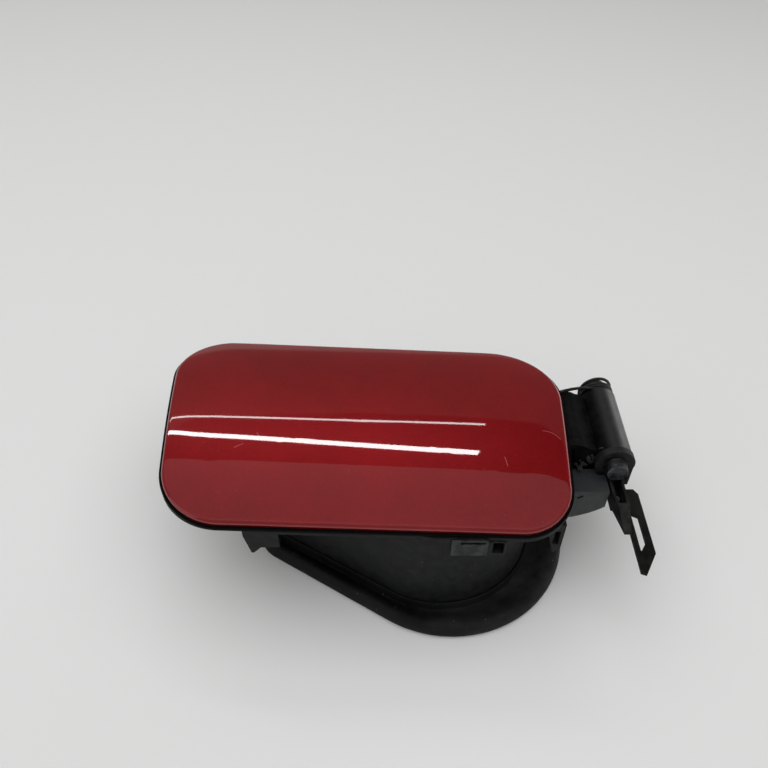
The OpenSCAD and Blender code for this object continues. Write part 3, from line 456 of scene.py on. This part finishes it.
paintFinishes = {
    "flapPaint": {
        "deep": (0.190, 0.0030, 0.0052), "bright": (0.235, 0.0040, 0.0068), "cloudScale": 22.0,
        "flake": (0.50, 0.007, 0.011), "flakeScale": 5200.0, "flakeShare": 0.30,
        "rough": (0.30, 0.40), "metallic": 0.42, "shine": 0.12, "coatRough": 0.022, "coatIor": 1.55,
        "scratches": 0.12, "scratchShare": 0.07, "scratchColour": (0.8, 0.45, 0.45), "dust": 0.055,
        # the scratches that can be told one by one, seen from above, in millimetres
        "singleScratches": [
            ((49.8, 5.7), (52.2, 5.3)), ((52.2, 5.3), (54.5, 4.3)),
            ((54.5, 4.3), (56.4, 2.6)), ((56.4, 2.6), (58.0, 0.5)),
            ((29.3, -10.5), (29.8, -12.9)), ((29.8, -12.9), (30.2, -15.6)),
            ((-91.2, 4.1), (-88.2, -0.7)), ((-101.2, -4.8), (-97.2, -2.6)),
        ],
        "singleWidth": 0.24, "singleShare": 0.55, "singleColour": (0.62, 0.20, 0.20),
        "slot": "red_paint",
    },
}


def makePaint(name, look):
    made, tree, shader = startMaterial(name)
    place = objectPlace(tree)
    sparkle = addNode(tree, "ShaderNodeSeparateColor", (-400, 300))
    join(tree, cellNode(tree, place, look["flakeScale"])["Color"], sparkle.inputs[0])
    cloud = noiseNode(tree, place, look["cloudScale"], Detail=5.0, Roughness=0.6)
    lines = placeGroup(tree, fineScratchGroup, (-500, -450),
                       Density=look["scratches"], Scale=26.0, Stretch=20.0)
    dust = placeGroup(tree, dustGroup, (-500, -250), Amount=look["dust"])
    colour = mixColour(tree, rampNode(tree, cloud, 0.3, 0.7), look["deep"], look["bright"])
    flakes = times(tree, rampNode(tree, sparkle.outputs[0], 0.55, 1.0), look["flakeShare"])
    colour = mixColour(tree, flakes, colour, look["flake"])
    swirls = times(tree, lines.outputs["Lines"], look["scratchShare"])
    colour = mixColour(tree, swirls, colour, look["scratchColour"])
    colour = settleDust(tree, dust, colour, "paint")
    seen = None
    for index, (first, last) in enumerate(look["singleScratches"]):
        one = placeGroup(tree, singleScratchGroup, (-500, -700 - 160 * index), Width=look["singleWidth"] * mm,
                         From=(first[0] * mm, first[1] * mm, 0), To=(last[0] * mm, last[1] * mm, 0))
        line = one.outputs["Line"]
        seen = line if seen is None else mathNode(tree, "MAXIMUM", seen, line)
    colour = mixColour(tree, times(tree, seen, look["singleShare"]), colour, look["singleColour"])
    join(tree, colour, shader["Base Color"])
    join(tree, spreadNode(tree, sparkle.outputs[1], look["rough"]), shader["Roughness"])
    shader["Metallic"].default_value = look["metallic"]
    shader["Specular IOR Level"].default_value = look["shine"]
    shader["Coat Weight"].default_value = 1.0
    shader["Coat Roughness"].default_value = look["coatRough"]
    shader["Coat IOR"].default_value = look["coatIor"]
    height = mathNode(tree, "ADD", times(tree, cloud, 2.0), lines.outputs["Height"])
    join(tree, bumpNode(tree, height, 0.03, 0.0005), shader["Normal"])
    return made


finishes, slots = {}, {}
for looks, makeFinish in ((plasticFinishes, makePlastic), (paintFinishes, makePaint),
                          (rubberFinishes, makeRubber), (steelFinishes, makeSteel)):
    for name, look in looks.items():
        finishes[name] = makeFinish(name, look)
        slots[name] = look["slot"]
print("finishes are built")


def showMesh(name, mesh, finish):
    piece = bpy.data.objects.new(name, mesh)
    bpy.context.scene.collection.objects.link(piece)
    mesh.materials.clear()
    mesh.materials.append(finishes[finish])
    return piece


def addPiece(name, mesh, body, finish):
    piece = showMesh(name, mesh, finish)
    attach(piece, body)
    return piece


def smoothMesh(work, name):
    bmesh.ops.recalc_face_normals(work, faces=work.faces)
    mesh = bpy.data.meshes.new(name)
    work.to_mesh(mesh)
    work.free()
    for face in mesh.polygons:
        face.use_smooth = True
    return mesh


def joinRings(work, rings):
    # a closed skin over rings of equal length, with a flat face at both ends
    count = len(rings[0])
    for lower, upper in zip(rings, rings[1:]):
        for k in range(count):
            work.faces.new((lower[k], lower[(k + 1) % count], upper[(k + 1) % count], upper[k]))
    work.faces.new(rings[0][::-1])
    work.faces.new(rings[-1])


# mouldings and metal parts, by the body that they ride on, keep their solid's shape
# and get rounded edges, in millimetres
roundedPieces = {
    "flap": {
        "inner_carrier": {"name": "flapCarrier", "finish": "rimPlastic", "edge": 0.45, "steps": 3},
        "hinge_arm": {"name": "gooseneckArm", "finish": "armPlastic", "edge": 0.4, "steps": 3},
        "arm_screws": {"name": "armScrews", "finish": "zincSteel", "edge": 0.12, "steps": 2},
        "front_bush": {"name": "frontBush", "finish": "bushPlastic", "edge": 0.2, "steps": 2},
        "rear_bush": {"name": "rearBush", "finish": "bushPlastic", "edge": 0.2, "steps": 2},
        "striker": {"name": "latchStriker", "finish": "zincSteel", "edge": 0.3, "steps": 2},
        "striker_rivets": {"name": "strikerRivets", "finish": "zincSteel", "edge": 0.25, "steps": 2},
        "bump_stop_front": {"name": "bumpStopFront", "finish": "stopRubber", "edge": 0.5, "steps": 3},
        "bump_stop_back": {"name": "bumpStopBack", "finish": "stopRubber", "edge": 0.5, "steps": 3},
        "cap_holder": {"name": "capHolder", "finish": "rimPlastic", "edge": 0.3, "steps": 2},
    },
    "pocket": {
        "pocket_housing": {"name": "pocketHousing", "finish": "bodyPlastic", "edge": 0.4, "steps": 3},
        "neck_seal": {"name": "neckSeal", "finish": "sealRubber", "edge": 0.5, "steps": 3},
        "hinge_bracket": {"name": "hingeBracket", "finish": "bracketPlastic", "edge": 0.35, "steps": 3},
        "bracket_screws": {"name": "bracketScrews", "finish": "zincSteel", "edge": 0.25, "steps": 2},
        "hinge_pin": {"name": "hingePin", "finish": "pinSteel", "edge": 0.5, "steps": 3},
        "pin_clip": {"name": "pinClip", "finish": "zincSteel", "edge": 0.12, "steps": 2},
        "fixing_tongue": {"name": "fixingTongue", "finish": "strapPlastic", "edge": 0.3, "steps": 3},
        "tongue_rivet": {"name": "tongueRivet", "finish": "zincSteel", "edge": 0.2, "steps": 2},
        "front_clip": {"name": "frontClip", "finish": "clipPlastic", "edge": 0.25, "steps": 2},
        "latch_body": {"name": "latchBody", "finish": "rimPlastic", "edge": 0.4, "steps": 2},
        "latch_screws": {"name": "latchScrews", "finish": "zincSteel", "edge": 0.15, "steps": 2},
    },
    "latch": {
        "latch_bolt": {"name": "latchBolt", "finish": "clipPlastic", "edge": 0.35, "steps": 3},
    },
}

# the weld in metres, angles in degrees
rounding = {"weld": 2e-6, "flatBelow": 0.5, "sharpFrom": 28, "fullWearAt": 25, "normalWeight": 80}


def roundEdges(nodeName, body, look):
    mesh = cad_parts[nodeName].data.copy()
    mesh.name = look["name"]
    work = bmesh.new()
    work.from_mesh(mesh)
    bmesh.ops.remove_doubles(work, verts=work.verts, dist=rounding["weld"])
    bmesh.ops.dissolve_limit(work, angle_limit=math.radians(rounding["flatBelow"]), verts=work.verts,
                             edges=work.edges, delimit=set())
    sharp = [e for e in work.edges
             if len(e.link_faces) == 2 and e.calc_face_angle(0) > math.radians(rounding["sharpFrom"])]
    bmesh.ops.bevel(work, geom=sharp, offset=look["edge"] * mm, offset_type="OFFSET", segments=look["steps"],
                    profile=0.5, affect="EDGES", clamp_overlap=True, loop_slide=True)
    work.normal_update()
    worn = work.verts.layers.float.new("roundedEdge")      # the edge wear reads this
    for vert in work.verts:
        turn = max([e.calc_face_angle(0) for e in vert.link_edges if len(e.link_faces) == 2] or [0])
        vert[worn] = min(1.0, turn / math.radians(rounding["fullWearAt"]))
    work.to_mesh(mesh)
    work.free()
    piece = addPiece(look["name"], mesh, body, look["finish"])
    for face in mesh.polygons:
        face.use_smooth = True
    weighted = piece.modifiers.new("faceWeighted", "WEIGHTED_NORMAL")
    weighted.keep_sharp = True
    weighted.weight = rounding["normalWeight"]
    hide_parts(nodeName)


for body, pieces in roundedPieces.items():
    for nodeName, look in pieces.items():
        roundEdges(nodeName, body, look)
print("mouldings and metal parts are rounded")


# flash and rubbed burrs on the near web of the arm
flash = {
    # x, y, z and radius of each lump in millimetres
    "lumps": [
        (69.2, 1.6, 59.3, 0.7), (70.3, -0.1, 58.3, 0.65), (71.7, 0.1, 58.1, 0.75), (72.7, 1.5, 58.8, 0.95),
        (73.7, 1.6, 59.5, 0.6), (72.4, 1.6, 60.4, 0.7), (74.5, 1.6, 58.5, 0.6), (75.0, 1.6, 63.4, 0.95),
        (75.3, 1.7, 62.1, 0.75), (76.2, 1.8, 61.2, 0.85), (76.9, 1.9, 60.3, 1.0), (77.7, 1.95, 61.5, 0.75),
        (78.2, 1.95, 62.9, 1.0), (77.6, 1.95, 64.2, 0.75), (74.6, 1.7, 65.0, 0.5), (80.4, 2.1, 71.2, 0.5),
        (79.3, 2.0, 71.0, 0.4), (71.0, 1.7, 61.8, 0.4), (76.4, 1.9, 65.8, 0.55),
    ],
    "wide": 1.3, "deep": 0.7,
    "deepBelow": 2.6,            # the two lumps that reach forward under the edge
}


def buildFlash():
    work = bmesh.new()
    for k, (x, y, z, radius) in enumerate(flash["lumps"]):
        deep = flash["deep"] if y > 1 else flash["deepBelow"]
        made = bmesh.ops.create_icosphere(work, subdivisions=4, radius=1.0)
        for vert in made["verts"]:
            broad = noise.noise(vert.co * 1.9 + Vector((3.1 * k, 0, 0)))
            swell = 0.9 + 0.7 * broad + 0.25 * noise.noise(vert.co * 5.0)
            reach = Vector((vert.co.x * flash["wide"], vert.co.y * deep, vert.co.z)) * radius * swell
            vert.co = (Vector((x, y, z)) + reach) * mm
    addPiece("armFlash", smoothMesh(work, "armFlash"), "flap", "flashPlastic")


buildFlash()
print("mould flash is built")


def tangentAngle(a, b):
    # the direction of the outward normal on the straight run from circle a to circle b
    dx, dy = b[0] - a[0], b[1] - a[1]
    return math.atan2(dy, dx) - math.acos((a[2] - b[2]) / math.hypot(dx, dy))


def ringPoints(circles, grow, count):
    # evenly numbered points round a ring of circles, with the outward normal at each
    corners = []
    total = len(circles)
    for index in range(total):
        before, here, after = circles[index - 1], circles[index], circles[(index + 1) % total]
        start = tangentAngle(before, here)
        end = tangentAngle(here, after)
        while end < start:
            end += 2 * math.pi
        corners.append((here, start, end))
    points = []
    for index, (circle, start, end) in enumerate(corners):
        steps = max(3, round(count * (end - start) / (2 * math.pi)))
        radius = circle[2] + grow
        for k in range(steps + 1):
            angle = start + (end - start) * k / steps
            points.append((circle[0] + radius * math.cos(angle), circle[1] + radius * math.sin(angle),
                           math.cos(angle), math.sin(angle)))
        following = corners[(index + 1) % total][0]
        x0, y0 = points[-1][:2]
        x1 = following[0] + (following[2] + grow) * math.cos(end)
        y1 = following[1] + (following[2] + grow) * math.sin(end)
        between = max(2, round(math.hypot(x1 - x0, y1 - y0) / 4.0))
        for k in range(1, between):
            share = k / between
            points.append((x0 + (x1 - x0) * share, y0 + (y1 - y0) * share, math.cos(end), math.sin(end)))
    return points


skin = {
    # centre x, centre y and radius of each corner, anticlockwise, in millimetres
    "outline": [(-103, -12.5, 32), (34.5, -24, 25), (25.5, 30, 38), (-114, 51.5, 27)],
    "middle": (-39, 12), "ringCount": 220,
    "top": 80.6, "crown": 330.0, "crownY": 15.0, "thick": 1.2, "hem": 3.2,
    "round": 1.6,                                          # radius of the folded edge
    "shoulder": 13.0, "shoulderDrop": 0.5,                 # slow roll-down before the fold
    "endDrop": 0.55, "endFrom": 55.0, "endLength": 47.0,   # slow fall towards both ends
    # insets of the rings on top and underneath, then how far the inner rings shrink
    "topInsets": (2.4, 3.4, 4.6, 6.0, 7.8, 10.0, 12.5, 15.5, 19.0, 22.5),
    "underInsets": (22.5, 15.5, 10.0, 6.0, 3.0),
    "shrinks": (0.85, 0.7, 0.55, 0.4, 0.25, 0.12),
}


def skinHeight(x, y):
    fall = skin["crown"] - math.sqrt(skin["crown"] ** 2 - (y - skin["crownY"]) ** 2)
    along = max(0.0, abs(x - skin["middle"][0]) - skin["endFrom"]) / skin["endLength"]
    return skin["top"] - fall - skin["endDrop"] * along ** 2


def buildSkin():
    work = bmesh.new()
    rings = []
    r, thick, hem = skin["round"], skin["thick"], skin["hem"]
    middleX, middleY = skin["middle"]

    def addRing(inset, drop):
        ring = []
        for x, y, nx, ny in ringPoints(skin["outline"], -inset, skin["ringCount"]):
            share = max(0.0, 1 - inset / skin["shoulder"])
            z = skinHeight(x, y) + drop - skin["shoulderDrop"] * share ** 2
            ring.append(work.verts.new((x * mm, y * mm, z * mm)))
        rings.append(ring)

    lastInset = skin["topInsets"][-1]
    innermost = [point[:2] for point in ringPoints(skin["outline"], -lastInset, skin["ringCount"])]

    def addShrunk(share, drop):
        ring = []
        for x, y in innermost:
            x, y = middleX + (x - middleX) * share, middleY + (y - middleY) * share
            ring.append(work.verts.new((x * mm, y * mm, (skinHeight(x, y) + drop) * mm)))
        rings.append(ring)

    # the underside from the middle outwards, then down inside the folded edge
    under = -thick + 0.1
    for share in reversed(skin["shrinks"]):
        addShrunk(share, under)
    for inset in skin["underInsets"]:
        addRing(inset, under)
    for inset, drop in ((thick, -thick - 0.4), (thick, -hem + 0.1), (thick - 0.25, -hem), (0.25, -hem),
                        (0.0, -hem + 0.25)):
        addRing(inset, drop)
    # up the side, over the fold and onto the top
    for k in range(7):
        angle = math.pi / 2 * k / 6
        addRing(r * (1 - math.cos(angle)), -r * (1 - math.sin(angle)))
    for inset in skin["topInsets"]:
        addRing(inset, 0.0)
    for share in skin["shrinks"]:
        addShrunk(share, 0.0)
    joinRings(work, rings)
    piece = addPiece("flapSkin", smoothMesh(work, "flapSkin"), "flap", "flapPaint")
    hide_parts("outer_panel")


buildSkin()
print("painted skin is built")


lip = {
    "outline": [(6, 0, 63.5), (-77.5, 0, 20.5)],     # circles under the roll's outer edge
    "bowl": [(0, 0, 49.5), (-78, 0, 10)],            # circles of the bowl's wall
    "ringCount": 260, "height": 10.4, "rollR": 3.4, "rollLow": 3.0, "foot": 0.02,
    "slopeWidth": 7.0, "webTop": 6.9, "webUnder": 4.55,
    "collarTop": 12.2, "collarOut": 1.3, "seat": 0.35,
    "wave": 0.25,                                    # how unevenly the soft roll lies
}


def teardropDistance(x, y, circles):
    # signed distance to the outline round two circles on the X axis
    (bigX, _, bigR), (smallX, _, smallR) = circles
    length = bigX - smallX
    axial, lateral = bigX - x, abs(y)
    slope = (bigR - smallR) / length
    rise = math.sqrt(1 - slope * slope)
    along = axial * rise - lateral * slope
    if along < 0:
        return math.hypot(axial, lateral) - bigR
    if along > length * rise:
        return math.hypot(axial - length, lateral) - smallR
    return axial * slope + lateral * rise - bigR


def reachToWall(x, y, nx, ny):
    # from the lip's outer edge straight inwards to the bowl's wall
    reach = 2.0
    for _ in range(40):
        gap = teardropDistance(x - nx * reach, y - ny * reach, lip["bowl"])
        reach += gap * 0.9
        if abs(gap) < 0.01:
            break
    return reach


def lipSection(wallIn):
    # inset from the outer edge and height, round the lip once
    r, low, foot = lip["rollR"], lip["rollLow"], lip["foot"]
    webTop, webUnder, collarTop = lip["webTop"], lip["webUnder"], lip["collarTop"]
    collarIn = wallIn - lip["collarOut"] + lip["seat"]
    section = []
    for k in range(15):
        angle = math.radians(-62 + k * 152 / 14)     # from the foot, round the outside, to the crest
        centreZ = low if angle < 0 else low + (lip["height"] - r - low) * min(1, math.degrees(angle) / 60)
        section.append((r - r * math.cos(angle), max(foot, centreZ + r * math.sin(angle))))
    crestIn, crestZ = section[-1]
    slopeEnd = min(2 * r + lip["slopeWidth"], collarIn - 0.6)
    for k in range(1, 9):
        share = k / 8
        ease = 0.5 - 0.5 * math.cos(math.pi * share)
        section.append((crestIn + (slopeEnd - crestIn) * share, crestZ + (webTop - crestZ) * ease))
    return section + [
        (collarIn - 0.3, webTop), (collarIn, webTop + 0.5), (collarIn + 0.1, collarTop - 0.6),
        (collarIn + 0.5, collarTop), (wallIn - 0.4, collarTop), (wallIn, collarTop - 0.5),
        (wallIn, webUnder), (max(2 * r + 1.0, wallIn - 3.0), webUnder),
        (2 * r - 0.6, 3.4), (r + 1.6, 0.25), (r + 1.3, foot),
    ]


def buildLip():
    work = bmesh.new()
    rings = []
    for x, y, nx, ny in ringPoints(lip["outline"], 0, lip["ringCount"]):
        ring = []
        for inset, z in lipSection(reachToWall(x, y, nx, ny) - lip["seat"]):
            wave = 0.0
            if inset < lip["rollR"] * 2 + 2 and z > 1:
                wave = lip["wave"] * noise.noise(Vector((x * 0.045, y * 0.045, z * 0.2)))
            inward = inset + max(0.0, wave)
            lowered = z - abs(wave) * 0.6
            ring.append(work.verts.new(((x - nx * inward) * mm, (y - ny * inward) * mm, lowered * mm)))
        rings.append(ring)
    size = len(rings[0])
    for here, following in zip(rings, rings[1:] + rings[:1]):
        for j in range(size):
            work.faces.new((here[j], following[j], following[(j + 1) % size], here[(j + 1) % size]))
    piece = addPiece("lipSeal", smoothMesh(work, "lipSeal"), "pocket", "sealRubber")
    piece.data.set_sharp_from_angle(angle=math.radians(55))
    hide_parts("lip_seal")


buildLip()
print("lip seal is built")


def sweepWire(name, points, radius, sides, smooth):
    # rounds off the path's corners, then sweeps a round wire along it
    path = [Vector(point) for point in points]
    for _ in range(smooth):
        finer = [path[0]]
        for a, b in zip(path, path[1:]):
            finer += [a * 0.75 + b * 0.25, a * 0.25 + b * 0.75]
        finer.append(path[-1])
        path = finer
    turns = [2 * math.pi * k / sides for k in range(sides)]
    work = bmesh.new()
    rings = []
    side = None
    for index, point in enumerate(path):
        heading = (path[min(index + 1, len(path) - 1)] - path[max(index - 1, 0)]).normalized()
        if side is None:
            side = heading.orthogonal().normalized()
        side = (side - heading * side.dot(heading)).normalized()
        other = heading.cross(side)
        rings.append([work.verts.new((point + (side * math.cos(turn) + other * math.sin(turn)) * radius) * mm)
                      for turn in turns])
    joinRings(work, rings)
    return smoothMesh(work, name)


torsionSpring = {
    "axis": (87.3, 64.0), "coilR": 8.5, "coilY": 43.1, "pitch": 1.75, "wire": 0.8, "turns": 3,
    "openFrom": 2.3, "opening": 3.4,                 # the last turn stands away from the others
    "hook": (60.5, 36.0), "legZ": 74.6,              # the leg that lies over the arm
    "foot": (96.1, 51.6, 50.2),                      # the leg that goes down to the bracket
}


def buildTorsionSpring():
    look = torsionSpring
    ax, az = look["axis"]
    hx, hy = look["hook"]
    fx, fy, fz = look["foot"]
    r, y0, z = look["coilR"], look["coilY"], look["legZ"]
    points = [(hx, hy, 71.0), (hx, hy, z - 0.6), (hx + 0.8, hy + 0.1, z), (66.5, 38.8, z),
              (ax - r - 2, 41.4, z - 0.2), (ax - r * 0.5, y0 - 0.1, az + r - 0.7)]
    steps = 24
    for k in range(steps * look["turns"] + 5):
        turn = k / steps
        angle = 2 * math.pi * turn
        y = y0 + look["pitch"] * turn + look["opening"] * max(0.0, turn - look["openFrom"]) ** 2
        points.append((ax + r * math.sin(angle), y, az + r * math.cos(angle)))
    points += [(fx - 0.1, fy, az + 1.5), (fx, fy, az - 3), (fx, fy, fz)]
    mesh = sweepWire("torsionSpring", points, look["wire"], 12, 2)
    piece = showMesh("torsionSpring", mesh, "springSteel")
    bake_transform(piece)
    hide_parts("torsion_spring")


buildTorsionSpring()


boltSpring = {
    "start": -108.7, "end": -98.1, "centre": (12.0, 60.5), "coilR": 3.75, "wire": 0.45, "turns": 5,
    "pressedShare": 0.64,                            # of its length, with the bolt drawn back
}


def buildBoltSpring():
    look = boltSpring
    cy, cz = look["centre"]
    steps = 20
    count = steps * look["turns"]
    points = []
    for k in range(count + 1):
        share = k / count
        angle = 2 * math.pi * k / steps
        points.append((look["start"] + (look["end"] - look["start"]) * share,
                       cy + look["coilR"] * math.cos(angle), cz + look["coilR"] * math.sin(angle)))
    mesh = sweepWire("boltSpring", points, look["wire"], 10, 1)
    piece = addPiece("boltSpring", mesh, "pocket", "springSteel")
    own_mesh(piece)
    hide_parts("latch_spring")


buildBoltSpring()
print("springs are wound")


# floor, lights and camera; places and sizes in metres
studio = {
    "cameraPlace": (-0.0286, -0.2356, 0.3541), "cameraPitch": 45.0,     # degrees below the horizon
    "lens": 34.55, "sensor": 36.0,
    "floorSize": 6.0, "floorColour": (0.80, 0.81, 0.81),
    # what shows in the paint and plastics: a wall behind the part, a darker strip, a dark band on top
    "wallSky": (0.46, 0.45, 0.44), "wallTop": (0.30, 0.36),
    "lowSky": (0.155, 0.132, 0.120), "lowTop": (0.723, 0.735), "lowLean": 0.05,
    "bandSky": (0.012, 0.011, 0.012),
    "frontSky": (0.30, 0.30, 0.30), "frontEdge": (0.15, -0.45),         # behind the camera
    "windowSky": (1.75, 1.78, 1.82), "windowWay": (0.78, 0.61, 0.06), "windowEdge": (0.90, 0.985),
    "lamps": {
        "ceilingPanel": {"place": (0.0, -0.35, 1.6), "target": (0.0, -0.35, 0.0), "size": (3.0, 2.2),
                         "power": 22.5, "colour": (1.0, 0.995, 0.985)},
        "ceilingGlow": {"place": (0.0, 0.015, 1.62), "target": (0.0, 0.015, 0.0), "size": (3.2, 1.55),
                        "power": 5.6, "colour": (1, 1, 1)},
        "sideFill": {"place": (-1.5, -0.7, 0.8), "target": (0.0, 0.0, 0.05), "size": (1.2, 1.0),
                     "power": 2.0, "colour": (1, 1, 1)},
    },
    "glowTurn": -8,                                  # degrees
    # the two long lamps that show as bright lines in the paint
    "tubes": {
        "tubeFar": {"from": (-1.40, 1.522, 1.6), "to": (0.305, 1.283, 1.6), "thick": 0.020, "power": 1.11},
        "tubeNear": {"from": (-1.35, 1.345, 1.6), "to": (0.25, 0.925, 1.6), "thick": 0.042, "power": 4.05},
    },
    "tubeTarget": (-0.03, 0.0, 0.08),
}


def linkObject(name, data):
    made = bpy.data.objects.new(name, data)
    bpy.context.scene.collection.objects.link(made)
    return made


def layFloor():
    work = bmesh.new()
    bmesh.ops.create_grid(work, x_segments=8, y_segments=8, size=studio["floorSize"])
    mesh = bpy.data.meshes.new("studioFloor")
    work.to_mesh(mesh)
    work.free()
    paper, tree, shader = startMaterial("palePaper")
    tone = setInputs(addNode(tree, "ShaderNodeTexNoise", (-300, 0)), Scale=3.0, Detail=2.0)
    pale = studio["floorColour"]
    colour = mixColour(tree, tone.outputs["Fac"], pale, tuple(c * 0.985 for c in pale))
    join(tree, colour, shader["Base Color"])
    shader["Roughness"].default_value = 0.75
    mesh.materials.append(paper)
    linkObject("studioFloor", mesh)


def paintSky():
    world = bpy.data.worlds.new("softSky")
    bpy.context.scene.world = world
    world.use_nodes = True
    tree = world.node_tree
    direction = addNode(tree, "ShaderNodeTexCoord", (-900, 0)).outputs["Generated"]
    way = splitNode(tree, direction)
    lower = mixColour(tree, rampNode(tree, way["Z"], *studio["wallTop"]), studio["wallSky"], studio["lowSky"])
    leaning = mathNode(tree, "SUBTRACT", way["Z"], times(tree, way["X"], studio["lowLean"]))
    behind = mixColour(tree, rampNode(tree, leaning, *studio["lowTop"]), lower, studio["bandSky"])
    around = mixColour(tree, rampNode(tree, way["Y"], *studio["frontEdge"]), behind, studio["frontSky"])
    toWindow = vectorNode(tree, "DOT_PRODUCT", direction, Vector(studio["windowWay"]).normalized())
    whole = mixColour(tree, rampNode(tree, toWindow, *studio["windowEdge"]), around, studio["windowSky"])
    join(tree, whole, tree.nodes["Background"].inputs["Color"])


def addLamp(name, size, power):
    light = bpy.data.lights.new(name, "AREA")
    light.shape = "RECTANGLE"
    light.size, light.size_y = size
    light.energy = power
    return linkObject(name, light)


def hangLamps():
    lamps = {}
    for name, look in studio["lamps"].items():
        lamp = lamps[name] = addLamp(name, look["size"], look["power"])
        lamp.data.color = look["colour"]
        lamp.location = look["place"]
        downwards = Vector(look["target"]) - Vector(look["place"])
        lamp.rotation_euler = downwards.to_track_quat("-Z", "Y").to_euler()
    lamps["ceilingPanel"].visible_glossy = False      # the paint shows the weaker glow in its place
    lamps["ceilingGlow"].rotation_euler.z += math.radians(studio["glowTurn"])
    for name, look in studio["tubes"].items():
        first, last = Vector(look["from"]), Vector(look["to"])
        lamp = addLamp(name, ((last - first).length, look["thick"]), look["power"])
        middle = (first + last) / 2
        along = (last - first).normalized()
        back = (middle - Vector(studio["tubeTarget"])).normalized()
        across = back.cross(along).normalized()
        axes = Matrix((along, across, along.cross(across))).transposed()
        lamp.matrix_world = Matrix.Translation(middle) @ axes.to_4x4()


def placeCamera():
    camera = bpy.data.cameras.new("mainCamera")
    camera.lens = studio["lens"]
    camera.sensor_width = studio["sensor"]
    viewer = linkObject("mainCamera", camera)
    viewer.location = studio["cameraPlace"]
    viewer.rotation_euler = (math.radians(90 - studio["cameraPitch"]), 0, 0)
    bpy.context.scene.camera = viewer
    bpy.context.scene.view_settings.view_transform = "Standard"


layFloor()
paintSky()
hangLamps()
placeCamera()
print("studio is set")
